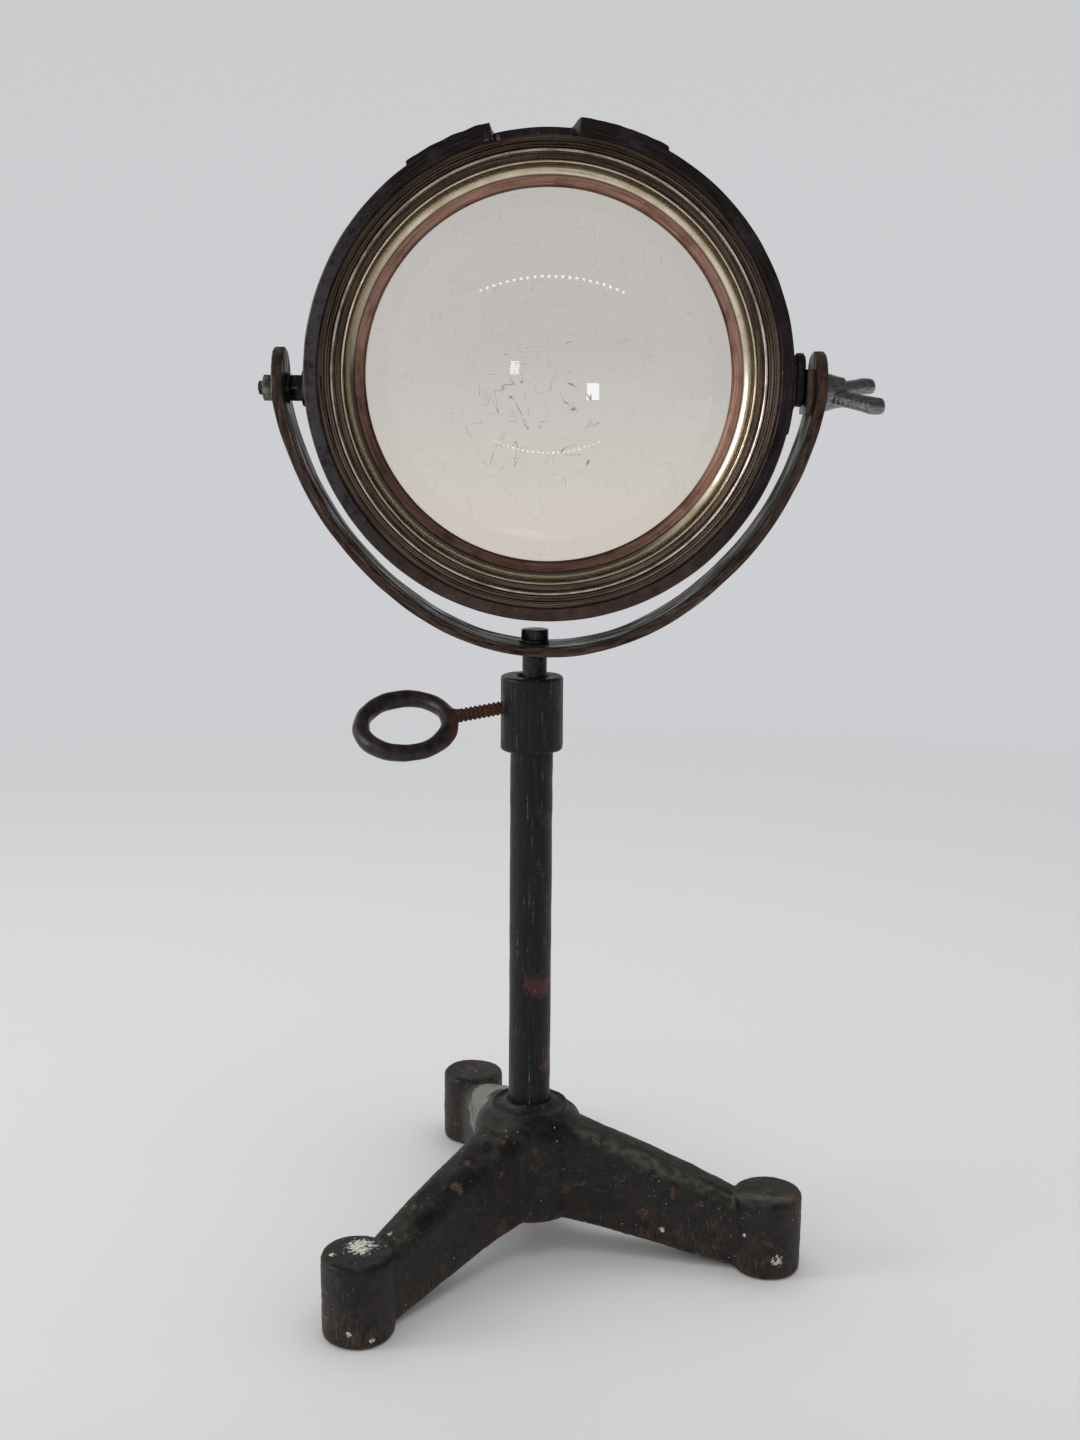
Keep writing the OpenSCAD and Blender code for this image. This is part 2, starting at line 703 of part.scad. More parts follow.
module retaining_screw_holes() {
  at_retaining_screws() translate([0, 0, -overlap])
    cylinder(d = small_screw_d + 2 * thread_clearance, h = retainer_t + 6);
}

module retaining_screws() {
  head_t = 1.4;
  slot_w = 0.6;
  slot_depth = 0.7;
  color("#6b5a3c") on_lens_axis() at_retaining_screws() difference() {
    union() {
      cylinder(d = small_screw_d, h = retainer_t + 4);
      translate([0, 0, -head_t]) cylinder(d = 1.8 * small_screw_d, h = head_t);
    }
    translate([-small_screw_d, -slot_w / 2, -head_t - overlap])
      cube([2 * small_screw_d, slot_w, slot_depth + overlap]);
  }
}

module seat_ring() {
  nose_r = lens_clear_r + seat_ring_w / 3;
  color("#a5644a") on_lens_axis() rotate_extrude($fn = ring_fn) polygon([
    [lens_clear_r, seat_back_p], [lens_clear_r, seat_front_p - 2.6], [nose_r, seat_front_p - 1.6],
    [seat_r, seat_front_p], [seat_r, seat_back_p + seat_flange_t],
    [seat_r + seat_flange_w, seat_back_p + seat_flange_t], [seat_r + seat_flange_w, seat_back_p]
  ]);
}

module lens() {
  color("#dfe6e6", 0.35) on_lens_axis() rotate_extrude($fn = ring_fn) intersection() {
    translate([0, glass_front_p + sag(lens_r) - lens_face_r]) circle(lens_face_r, $fn = 720);
    translate([0, glass_back_p - sag(lens_r) + lens_face_r]) circle(lens_face_r, $fn = 720);
    translate([0, -lens_r]) square([lens_r, 2 * lens_r]);
  }
}

module packing_ring() {
  color("#7c6a52") on_lens_axis() rotate_extrude($fn = ring_fn)
    band(packing_in_r, cell_r - seat_clearance, flange_p, packing_front_p);
}

module retaining_ring() {
  color("#7b6a42") on_lens_axis() difference() {
    rotate_extrude($fn = ring_fn)
      band(packing_in_r, bore_r - back_flange_w - seat_clearance, flange_p - retainer_t, flange_p);
    retaining_screw_holes();
  }
}

module left_stud() {
  color("#2a2a2b") on_bezel_pivot(-1) translate([0, 0, stud_root_x])
    cylinder(d = stud_d, h = left_stud_tip_x + head_shift - stud_root_x);
}

module left_lock_nut() {
  color("#232325") on_bezel_pivot(-1) translate([0, 0, boss_x])
    hex_nut(nut_flats, nut_t, stud_d + 2 * thread_clearance);
}

module left_inner_washer() {
  color("#2c2622") on_bezel_pivot(-1) translate([0, 0, boss_x + nut_t])
    washer(washer_d, inner_washer_t, stud_d + 2 * thread_clearance);
}

module left_outer_washer() {
  color("#8c8478") on_yoke_pivot(-1) translate([0, 0, nut_seat_x])
    washer(washer_d, outer_washer_t, stud_d + 2 * thread_clearance);
}

module left_outer_nut() {
  color("#4a4743") on_yoke_pivot(-1) translate([0, 0, nut_seat_x + outer_washer_t])
    hex_nut(nut_flats, thin_nut_t, stud_d + 2 * thread_clearance);
}

module right_stud() {
  color("#2a2a2b") on_bezel_pivot(1) translate([0, 0, stud_root_x])
    cylinder(d = stud_d, h = right_stud_tip_x - head_shift - stud_root_x);
}

// A hand-cut pad whose hole is near its lower end
module rubber_pad() {
  upper_x = -(pad_above - pad_w / 2);
  color("#141516") on_bezel_pivot(1) translate([0, 0, boss_x])
    bored(pad_t, stud_d + 2 * thread_clearance) {
      cylinder(d = pad_w, h = pad_t);
      translate([upper_x, 0, 0]) cylinder(d = pad_w, h = pad_t);
      translate([upper_x, -pad_w / 2, 0]) cube([-upper_x, pad_w, pad_t]);
    }
}

module wing(side, turn) {
  root_r = 3.4;
  tip_r = 0.72 * wing_t;
  rotate([0, 0, turn]) hull() {
    translate([0, side * (wing_hub_tip_d / 2 - 2), wing_hub_l / 2])
      rotate([0, 90, 0]) cylinder(r = root_r, h = wing_t, center = true, $fn = edge_fn);
    translate([0, side * (wing_span / 2 - tip_r), wing_reach - tip_r])
      rotate([0, 90, 0]) cylinder(r = tip_r, h = wing_t, center = true, $fn = edge_fn);
  }
}

module wing_nut() {
  color("#8d8a86") on_yoke_pivot(1) translate([0, 0, nut_seat_x])
    bored(wing_reach, stud_d + 2 * turn_clearance) {
      cylinder(d1 = wing_hub_d, d2 = wing_hub_tip_d, h = wing_hub_l);
      wing(-1, near_wing_turn);
      wing(1, far_wing_turn);
    }
}

tripod_base();
column_tube();
base_washer();
base_nut();
socket_collar();
clamp_screw();
stem_rod();
yoke_screw();
yoke_screw_washer();
yoke();
pivot_plate();
bezel_ring();
cove_ring();
seat_ring();
lens();
packing_ring();
retaining_ring();
retaining_screws();
cell_grub_screws();
left_stud();
left_lock_nut();
left_inner_washer();
left_outer_washer();
left_outer_nut();
right_stud();
rubber_pad();
wing_nut();
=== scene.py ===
import math

import bmesh
import bpy
from mathutils import Matrix, Vector, noise


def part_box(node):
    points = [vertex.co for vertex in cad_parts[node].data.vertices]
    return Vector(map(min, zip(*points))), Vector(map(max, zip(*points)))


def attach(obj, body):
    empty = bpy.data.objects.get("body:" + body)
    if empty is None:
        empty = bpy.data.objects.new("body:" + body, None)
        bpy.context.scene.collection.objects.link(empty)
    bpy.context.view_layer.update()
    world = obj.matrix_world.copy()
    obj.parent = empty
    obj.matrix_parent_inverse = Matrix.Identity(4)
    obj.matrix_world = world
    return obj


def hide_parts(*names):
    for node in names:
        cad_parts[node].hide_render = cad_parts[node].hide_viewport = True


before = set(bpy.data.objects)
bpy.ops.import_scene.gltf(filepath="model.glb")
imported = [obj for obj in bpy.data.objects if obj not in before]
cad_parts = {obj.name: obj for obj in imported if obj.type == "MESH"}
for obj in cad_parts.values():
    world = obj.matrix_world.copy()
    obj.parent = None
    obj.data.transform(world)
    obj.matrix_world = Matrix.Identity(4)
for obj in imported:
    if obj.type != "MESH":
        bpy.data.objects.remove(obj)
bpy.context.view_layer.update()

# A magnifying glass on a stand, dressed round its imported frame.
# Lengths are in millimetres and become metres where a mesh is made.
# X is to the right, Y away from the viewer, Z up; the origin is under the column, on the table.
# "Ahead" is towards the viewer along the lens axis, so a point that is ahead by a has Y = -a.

MM = 0.001


def box_mm(node):
    """Lowest and highest corner of a CAD node, in millimetres."""
    low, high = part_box(node)
    return low / MM, high / MM


# Places and sizes read from the frame

lens_low, lens_high = box_mm("lens")
head_x = (lens_low.x + lens_high.x) / 2
head_z = (lens_low.z + lens_high.z) / 2
glass_r = (lens_high.x - lens_low.x) / 2
nut_low, nut_high = box_mm("left_lock_nut")
pivot_z = (nut_low.z + nut_high.z) / 2
bezel_low, bezel_high = box_mm("bezel_ring")
bezel_r = head_z - bezel_low.z
rim_ahead = -bezel_low.y
back_ahead = -bezel_high.y
cell_low, cell_high = box_mm("cove_ring")
cell_out_r = (cell_high.x - cell_low.x) / 2
flange_ahead = -cell_high.y
collar_low, collar_high = box_mm("socket_collar")
collar_r = (collar_high.x - collar_low.x) / 2
column_low, column_high = box_mm("column_tube")
column_r = (column_high.x - column_low.x) / 2
stem_low, stem_high = box_mm("stem_rod")
stem_x = (stem_low.x + stem_high.x) / 2
stem_r = (stem_high.x - stem_low.x) / 2
yoke_low, yoke_high = box_mm("yoke")
yoke_x = (yoke_low.x + yoke_high.x) / 2
arm_out_x = (yoke_high.x - yoke_low.x) / 2
strap_half_w = (yoke_high.y - yoke_low.y) / 2


# Mesh tools

def new_piece(name, points, faces, sharp=35):
    """A piece from points in millimetres: doubles merged, faces outwards, smooth but for sharp edges."""
    mesh = bpy.data.meshes.new(name)
    mesh.from_pydata([tuple(Vector(p) * MM) for p in points], [], faces)
    tidy_mesh(mesh, sharp)
    piece = bpy.data.objects.new(name, mesh)
    bpy.context.scene.collection.objects.link(piece)
    return piece


def tidy_mesh(mesh, sharp=35):
    """Merges doubles, turns the faces outwards and smooths all but the edges sharper than an angle."""
    work = bmesh.new()
    work.from_mesh(mesh)
    bmesh.ops.remove_doubles(work, verts=work.verts, dist=0.002 * MM)
    bmesh.ops.recalc_face_normals(work, faces=work.faces)
    work.to_mesh(mesh)
    work.free()
    mesh.shade_smooth()
    mesh.set_sharp_from_angle(angle=math.radians(sharp))


def turned(name, outline, place=Matrix(), steps=96, sharp=35):
    """An outline of (radius, height) turned round its own Z axis, then put in place.

    An outline that starts and ends on the axis makes a solid; any other is closed into a ring."""
    solid = outline[0][0] == 0 and outline[-1][0] == 0
    points, rows = [], []
    for radius, height in outline:
        count = 1 if radius == 0 else steps
        rows.append(list(range(len(points), len(points) + count)))
        for step in range(count):
            angle = math.tau * step / steps
            points.append(place @ Vector((radius * math.cos(angle), radius * math.sin(angle), height)))
    if not solid:
        rows.append(rows[0])
    faces = []
    for low, high in zip(rows, rows[1:]):
        for step in range(steps):
            quad = [low[step % len(low)], low[(step + 1) % len(low)],
                    high[(step + 1) % len(high)], high[step % len(high)]]
            corners = list(dict.fromkeys(quad))
            if len(corners) > 2:
                faces.append(corners)
    return new_piece(name, points, faces, sharp)


def loft_faces(rows, count, looped=False):
    """Faces between rows of points, count in each; the ends are capped, or joined where it is looped."""
    faces = []
    for row in range(rows if looped else rows - 1):
        here, after = row * count, (row + 1) % rows * count
        for i in range(count):
            j = (i + 1) % count
            faces.append([here + i, here + j, after + j, after + i])
    if not looped:
        faces += [list(range(count)), list(range((rows - 1) * count, rows * count))]
    return faces


def softened(outline, radius, closed=True, parts=3):
    """The outline with each corner rounded by about a radius; ends on the axis stay."""
    result = []
    count = len(outline)
    for i, corner in enumerate(outline):
        if not closed and i in (0, count - 1):
            result.append(corner)
            continue
        here = Vector(corner)
        before = Vector(outline[i - 1]) - here
        after = Vector(outline[(i + 1) % count]) - here
        start = here + before.normalized() * min(radius, before.length * 0.45)
        end = here + after.normalized() * min(radius, after.length * 0.45)
        for part in range(parts + 1):
            t = part / parts
            result.append(tuple(start.lerp(here, t).lerp(here.lerp(end, t), t)))
    return result


def edged(outline, inset=0.6):
    """A closed outline with a point before and after each corner, so that worn edges stay narrow."""
    result = []
    count = len(outline)
    for i, corner in enumerate(outline):
        here = Vector(corner)
        before = Vector(outline[i - 1]) - here
        after = Vector(outline[(i + 1) % count]) - here
        result.append(tuple(here + before.normalized() * min(inset, before.length * 0.35)))
        result.append(corner)
        result.append(tuple(here + after.normalized() * min(inset, after.length * 0.35)))
    return result


def roughened(piece, width, depth, seed=0, only=None):
    """Moves a piece's surface in and out by smooth noise of a width and depth in millimetres."""
    mesh = piece.data
    normals = [v.normal.copy() for v in mesh.vertices]
    shift = Vector((seed * 17.3, seed * 5.1, seed * 9.7))
    for vertex, normal in zip(mesh.vertices, normals):
        share = 1 if only is None else only(vertex.co / MM)
        if share:
            height = noise.noise(vertex.co / (width * MM) + shift)
            vertex.co += normal * (height * depth * share * MM)
    return piece


def kept_within(piece, node):
    """Keeps a piece's surface inside its CAD node's box."""
    low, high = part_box(node)
    for vertex in piece.data.vertices:
        vertex.co = Vector(max(low[i], min(high[i], vertex.co[i])) for i in range(3))
    return piece


def joined(name, pieces):
    """Several pieces as one."""
    work = bmesh.new()
    for piece in pieces:
        work.from_mesh(piece.data)
        bpy.data.objects.remove(piece)
    mesh = bpy.data.meshes.new(name)
    work.to_mesh(mesh)
    work.free()
    result = bpy.data.objects.new(name, mesh)
    bpy.context.scene.collection.objects.link(result)
    return result


def settled(piece, sharp=None):
    """The piece with its modifiers made part of its mesh."""
    bpy.context.view_layer.update()
    done = piece.evaluated_get(bpy.context.evaluated_depsgraph_get())
    mesh = bpy.data.meshes.new_from_object(done)
    piece.modifiers.clear()
    piece.data = mesh
    if sharp is None:
        mesh.shade_smooth()
    else:
        tidy_mesh(mesh, sharp)
    return piece


def carved(piece, tools, operation="DIFFERENCE", sharp=35):
    """Cuts tools out of a piece, or adds or intersects them."""
    for tool in tools:
        cut = piece.modifiers.new("cut", "BOOLEAN")
        cut.operation = operation
        cut.solver = "EXACT"
        cut.object = tool
    settled(piece, sharp)
    for tool in tools:
        bpy.data.objects.remove(tool)
    return piece


def cast(piece, cell, passes):
    """Melts overlapping shapes into one skin, as a casting or forging has, and softens its creases."""
    skin = piece.modifiers.new("skin", "REMESH")
    skin.mode = "VOXEL"
    skin.voxel_size = cell * MM
    melt = piece.modifiers.new("melt", "SMOOTH")
    melt.factor = 0.5
    melt.iterations = passes
    return settled(piece)


def eased(piece, width, segments, angle):
    """Rounds the edges that are sharper than an angle, by a width in millimetres."""
    edge = piece.modifiers.new("edge", "BEVEL")
    edge.width = width * MM
    edge.segments = segments
    edge.limit_method = "ANGLE"
    edge.angle_limit = math.radians(angle)
    return settled(piece, sharp=40)


def fitted(piece, body, slot, material, *nodes):
    """Gives a piece its material, its body and the CAD nodes it stands for; its slot argument is not used."""
    piece.data.materials.clear()
    piece.data.materials.append(material)
    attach(piece, body)
    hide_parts(*nodes)


# Materials

def linear(code):
    """A colour written in sRGB hex, as Blender's linear red, green, blue and alpha."""
    parts = [int(code[i:i + 2], 16) / 255 for i in (1, 3, 5)]
    return [p / 12.92 if p <= 0.04045 else ((p + 0.055) / 1.055) ** 2.4 for p in parts] + [1]


def adder(tree):
    """A function that adds one node to a tree, with its settings and links.

    Its inputs come in order or by name. Each is a number, a colour in sRGB hex, an output or a node."""
    def add(kind, inputs=(), **settings):
        made = tree.nodes.new(kind if "Node" in kind else "ShaderNode" + kind)
        for name, value in settings.items():
            setattr(made, name, value)
        sockets = [s for s in made.inputs if s.enabled]
        if isinstance(inputs, dict):
            sockets = [next(s for s in sockets if s.name == name) for name in inputs]
            inputs = inputs.values()
        for socket, value in zip(sockets, inputs):
            if isinstance(value, bpy.types.Node):
                value = next(s for s in value.outputs if s.enabled)
            if isinstance(value, bpy.types.NodeSocket):
                tree.links.new(value, socket)
            else:
                socket.default_value = linear(value) if isinstance(value, str) else value
        return made
    return add


def new_material(name):
    """A node material: itself, a function that adds its nodes, and Object coordinates in millimetres."""
    material = bpy.data.materials.new(name)
    material.use_nodes = True
    material.node_tree.nodes.clear()
    add = adder(material.node_tree)
    place = add("TexCoord").outputs["Object"]
    return material, add, add("VectorMath", (place, 1 / MM), operation="SCALE")


def finish(add, colour, roughness, height, depth, others=(), reach=0.3):
    """Joins a finished colour, roughness and bump height in millimetres to the shader and the output."""
    bump = add("Bump", {"Height": height, "Strength": depth, "Distance": reach * MM})
    looks = {"Base Color": colour, "Roughness": roughness, "Normal": bump, **dict(others)}
    add("OutputMaterial", {"Surface": add("BsdfPrincipled", looks)})


def grain(add, place, width, detail=4, stretch=(1, 1, 1), roughness=0.55, seed=0):
    """Noise from 0 to 1 whose spots are about a width in millimetres."""
    spread = add("Mapping", {"Vector": place, "Scale": [1 / (width * s) for s in stretch],
                             "Location": (seed * 3.7, seed * 1.3, seed * 7.9)})
    return add("TexNoise", {"Vector": spread, "Scale": 1, "Detail": detail, "Roughness": roughness})


def edge_wear_and_highlight(add, low=0.52, high=0.6):
    """A share that is 1 on outward edges: worn through by handling, and on some parts a painted highlight."""
    edge = add("NewGeometry").outputs["Pointiness"]
    return add("MapRange", (edge, low, high))


def round_lens_axis(add, place):
    """Distance round the lens axis, distance ahead and radius, in millimetres, as separate sockets."""
    centred = add("Mapping", {"Vector": place, "Location": (-head_x, 0, -head_z)})
    x, y, z = add("SeparateXYZ", (centred,)).outputs
    square = add("Math", (times(add, x, x), times(add, z, z)), operation="ADD")
    radius = add("Math", (square,), operation="SQRT")
    angle = add("Math", (z, x), operation="ARCTAN2")
    return angle, y, radius


def ring_line(add, radius, at, width):
    """A share that is 1 along a circle round the lens axis and fades within a width either side."""
    beside = add("Math", (radius, at), operation="SUBTRACT")
    off = add("Math", (beside,), operation="ABSOLUTE")
    return add("MapRange", (off, width, width * 0.5))


def spot(add, place, centre, radius, ragged):
    """A share that is 1 inside a ragged spot round a point, both in millimetres."""
    reach = add("VectorMath", (place, centre), operation="DISTANCE").outputs["Value"]
    tear = times(add, add("Math", (ragged, 0.5), operation="SUBTRACT"), radius * 4)
    return add("MapRange", (add("Math", (reach, tear), operation="ADD"), radius, radius * 0.82))


def times(add, *shares):
    """The product of several shares."""
    result = shares[0]
    for share in shares[1:]:
        result = add("Math", (result, share), operation="MULTIPLY")
    return result


# Marks on the casting: middle and radius in millimetres
PAINT_SPOTS = (((-67, -78.6, 34.4), 5.6), ((-77.9, -85, 34), 1.3), ((-57.5, -68.7, 35.5), 1.7),
               ((105.8, -42.2, 9.4), 2.3), ((92.4, -37.6, 18.9), 0.8), ((58.3, -25.9, 14.8), 1),
               ((73.5, -29.5, 4.6), 0.9), ((-70.2, -97.1, 7.1), 1.4), ((-61.3, -95.7, 4.1), 1.1))
RUST_SPOTS = (((111.5, -32.9, 34.4), 4.2), ((-30.2, 105, 34.4), 2.6), ((-19.7, 105.1, 34.4), 1.2),
              ((2.9, -24.3, 49.8), 1.8), ((-11.8, -31.7, 18.4), 4), ((50.4, -24.1, 21.8), 2.6),
              ((-26, -36, 50), 1.6), ((-29.8, -46.8, 43.9), 2.8), ((16.4, -18.2, 29.9), 2.2))


def chipped_enamel():
    """Black enamel on cast iron: dusty tops, brown lower edges, rust spots, scratches and chips."""
    material, add, place = new_material("chipped_enamel")
    facing = add("NewGeometry").outputs["Normal"]
    up = add("SeparateXYZ", (facing,)).outputs[2]
    z = add("SeparateXYZ", (place,)).outputs[2]
    broad = grain(add, place, 16, detail=5, seed=1)
    middle = grain(add, place, 4, detail=7, roughness=0.62, seed=2)
    fine = grain(add, place, 0.9, detail=4, seed=3)
    colour = add("Mix", (add("MapRange", (middle, 0.36, 0.66)), "#080708", "#1b1919"), data_type="RGBA")
    brown = add("MapRange", (grain(add, place, 8, detail=7, roughness=0.65, seed=38), 0.5, 0.64, 0, 0.75))
    colour = add("Mix", (brown, colour, "#241914"), data_type="RGBA")
    dust = times(add, add("MapRange", (up, 0.05, 0.8)), add("MapRange", (broad, 0.44, 0.6, 0.05, 0.8)),
                 add("MapRange", (middle, 0.36, 0.62, 0.25, 1)))
    colour = add("Mix", (dust, colour, "#3b3a33"), data_type="RGBA")
    # A dusty streak lies along the near shoulder of the right leg
    leg = add("Mapping", {"Vector": place, "Rotation": (0, 0, math.radians(15))})
    along, across = add("SeparateXYZ", (leg,)).outputs[:2]
    beside = add("Math", (add("Math", (across, 7.5), operation="ADD"),), operation="ABSOLUTE")
    streak = times(add, add("MapRange", (beside, 4, 1.5)), add("MapRange", (along, 18, 30)),
                   add("MapRange", (up, 0.2, 0.5)), add("MapRange", (middle, 0.38, 0.6, 0.2, 1)))
    colour = add("Mix", (times(add, streak, 0.8), colour, "#4a4c3e"), data_type="RGBA")
    # Rust comes through in spots, and along the lower edges
    low_edge = times(add, add("MapRange", (up, 0.05, -0.5)), add("MapRange", (middle, 0.42, 0.56)))
    low_side = times(add, add("MapRange", (z, 30, 8)),
                     add("MapRange", (grain(add, place, 5, detail=7, seed=39), 0.52, 0.62)))
    spots = add("MapRange", (grain(add, place, 7, detail=8, roughness=0.68, seed=4), 0.605, 0.65))
    rust = add("Math", (low_edge, times(add, low_side, 0.55)), operation="MAXIMUM")
    rust = add("Math", (rust, spots), operation="MAXIMUM")
    for centre, radius in RUST_SPOTS:
        rust = add("Math", (rust, spot(add, place, centre, radius, middle)), operation="MAXIMUM")
    rust_colour = add("Mix", (add("MapRange", (fine, 0.35, 0.65)), "#2b1f19", "#6a4f40"), data_type="RGBA")
    colour = add("Mix", (times(add, rust, 0.8), colour, rust_colour), data_type="RGBA")
    # Golden brown shows in upright streaks along the foot of the sides
    streaks = grain(add, place, 0.8, detail=5, stretch=(1, 1, 7), seed=51)
    golden = times(add, add("MapRange", (z, 20, 5)), add("MapRange", (streaks, 0.52, 0.68)),
                   add("MapRange", (broad, 0.4, 0.6)))
    colour = add("Mix", (times(add, golden, 0.75), colour, "#6b5031"), data_type="RGBA")
    # Brushed scuffs have bared the rear leg's side
    lines = grain(add, place, 0.45, detail=3, stretch=(1, 1, 9), seed=40)
    bared = times(add, spot(add, place, (-25, 52, 38), 21, broad),
                  add("MapRange", (lines, 0.38, 0.6, 0.15, 0.9)))
    colour = add("Mix", (bared, colour, "#8d8b82"), data_type="RGBA")
    scratches = times(add, add("MapRange", (lines, 0.645, 0.7)), add("MapRange", (broad, 0.42, 0.58)))
    colour = add("Mix", (times(add, scratches, 0.6), colour, "#75695a"), data_type="RGBA")
    flakes = grain(add, place, 1.5, detail=6, roughness=0.66, seed=41)
    paint = times(add, add("MapRange", (flakes, 0.665, 0.69)),
                  add("MapRange", (grain(add, place, 13, seed=42), 0.46, 0.54)))
    for centre, radius in PAINT_SPOTS:
        chip = times(add, spot(add, place, centre, radius, flakes), add("MapRange", (middle, 0.4, 0.47)))
        paint = add("Math", (paint, chip), operation="MAXIMUM")
    paint_colour = add("Mix", (add("MapRange", (fine, 0.35, 0.6)), "#8f8a7d", "#dedcd4"), data_type="RGBA")
    colour = add("Mix", (paint, colour, paint_colour), data_type="RGBA")
    edge = times(add, edge_wear_and_highlight(add, 0.53, 0.6), add("MapRange", (middle, 0.45, 0.56)), 0.5)
    colour = add("Mix", (edge, colour, "#5d5145"), data_type="RGBA")
    height = add("Math", (times(add, middle, 0.7), times(add, fine, 0.3)), operation="ADD")
    height = add("Math", (height, times(add, paint, 0.35)), operation="ADD")
    rough = add("Math", (add("MapRange", (rust, 0, 1, 0.5, 0.9)),
                         add("MapRange", (dust, 0, 0.6, 0.45, 0.85))), operation="MAXIMUM")
    finish(add, colour, rough, height, 0.55, {"Specular IOR Level": 0.35})
    return material


def blackened_iron():
    """Iron pipe with an old black finish: fine streaks up the tube, faint green and small rust patches."""
    material, add, place = new_material("blackened_iron")
    streaks = grain(add, place, 0.7, detail=5, stretch=(1, 1, 22), seed=5)
    broad = grain(add, place, 12, detail=5, seed=6)
    middle = grain(add, place, 3, detail=7, roughness=0.65, seed=43)
    fine = grain(add, place, 0.8, detail=3, seed=7)
    colour = add("Mix", (add("MapRange", (streaks, 0.4, 0.66)), "#040505", "#1b1b1e"), data_type="RGBA")
    colour = add("Mix", (add("MapRange", (broad, 0.5, 0.72, 0, 0.4)), colour, "#11191a"), data_type="RGBA")
    rust = add("MapRange", (grain(add, place, 9, detail=8, roughness=0.68, seed=8), 0.61, 0.66))
    for centre, radius in (((3.5, -8.5, 120), 5.5), ((6.9, -6.1, 82.4), 3), ((11.8, -6.1, 243.3), 2.6)):
        rust = add("Math", (rust, spot(add, place, centre, radius, middle)), operation="MAXIMUM")
    rust_colour = add("Mix", (add("MapRange", (fine, 0.35, 0.65)), "#2c1512", "#64322a"), data_type="RGBA")
    colour = add("Mix", (times(add, rust, 0.75), colour, rust_colour), data_type="RGBA")
    specks = add("MapRange", (grain(add, place, 1.1, detail=5, roughness=0.7, seed=52), 0.66, 0.72))
    scuffs = times(add, add("MapRange", (streaks, 0.64, 0.71)), add("MapRange", (middle, 0.45, 0.58)))
    nicks = add("Math", (times(add, specks, 0.7), scuffs), operation="MAXIMUM")
    colour = add("Mix", (times(add, nicks, 0.75), colour, "#8a8580"), data_type="RGBA")
    edge = times(add, edge_wear_and_highlight(add, 0.52, 0.57), add("MapRange", (fine, 0.42, 0.58)), 0.8)
    colour = add("Mix", (edge, colour, "#6c675f"), data_type="RGBA")
    height = add("Math", (times(add, streaks, 0.5), times(add, middle, 0.5)), operation="ADD")
    rough = add("MapRange", (broad, 0.3, 0.7, 0.36, 0.52))
    finish(add, colour, rough, height, 0.4, {"Specular IOR Level": 0.3})
    return material


def forged_iron():
    """Forged iron of the eye screw: dark and worn smooth on the eye, with red-brown rust in the thread."""
    material, add, place = new_material("forged_iron")
    x = add("SeparateXYZ", (place,)).outputs[0]
    middle = grain(add, place, 3.5, detail=6, seed=9)
    fine = grain(add, place, 0.7, detail=4, seed=10)
    colour = add("Mix", (add("MapRange", (middle, 0.35, 0.7)), "#1a1516", "#3a2c29"), data_type="RGBA")
    thread = add("Math", (add("MapRange", (x, -35, -31)), add("MapRange", (middle, 0.58, 0.75, 0, 0.35))),
                 operation="ADD")
    rust_colour = add("Mix", (add("MapRange", (fine, 0.35, 0.65)), "#2f1a13", "#6f4430"), data_type="RGBA")
    colour = add("Mix", (add("Math", (thread, 0.9), operation="MINIMUM"), colour, rust_colour),
                 data_type="RGBA")
    finish(add, colour, add("MapRange", (thread, 0, 1, 0.38, 0.85)), middle, 0.4, {"Metallic": 0.35})
    return material


def blackened_steel():
    """Machine screws and nuts in blackened steel, oily dark, with bright corners that are part wear and part
    painted highlight.
    """
    material, add, place = new_material("blackened_steel")
    middle = grain(add, place, 2, detail=5, seed=11)
    colour = add("Mix", (add("MapRange", (middle, 0.35, 0.7)), "#121213", "#2f2f30"), data_type="RGBA")
    # Bright corners: part wear, part painted highlight
    edge = times(add, edge_wear_and_highlight(add), add("MapRange", (middle, 0.4, 0.6)))
    colour = add("Mix", (edge, colour, "#77736c"), data_type="RGBA")
    finish(add, colour, add("MapRange", (middle, 0.3, 0.7, 0.25, 0.45)), middle, 0.2, {"Metallic": 0.7})
    return material


def dull_steel():
    """Plain steel gone dull grey, with a brown bloom of old rust."""
    material, add, place = new_material("dull_steel")
    middle = grain(add, place, 2.4, detail=6, seed=12)
    colour = add("Mix", (add("MapRange", (middle, 0.35, 0.68)), "#4b4a47", "#8c887f"), data_type="RGBA")
    colour = add("Mix", (add("MapRange", (grain(add, place, 3, seed=13), 0.55, 0.7, 0, 0.6)), colour,
                         "#4a3426"), data_type="RGBA")
    finish(add, colour, add("MapRange", (middle, 0.3, 0.7, 0.35, 0.6)), middle, 0.25, {"Metallic": 0.8})
    return material


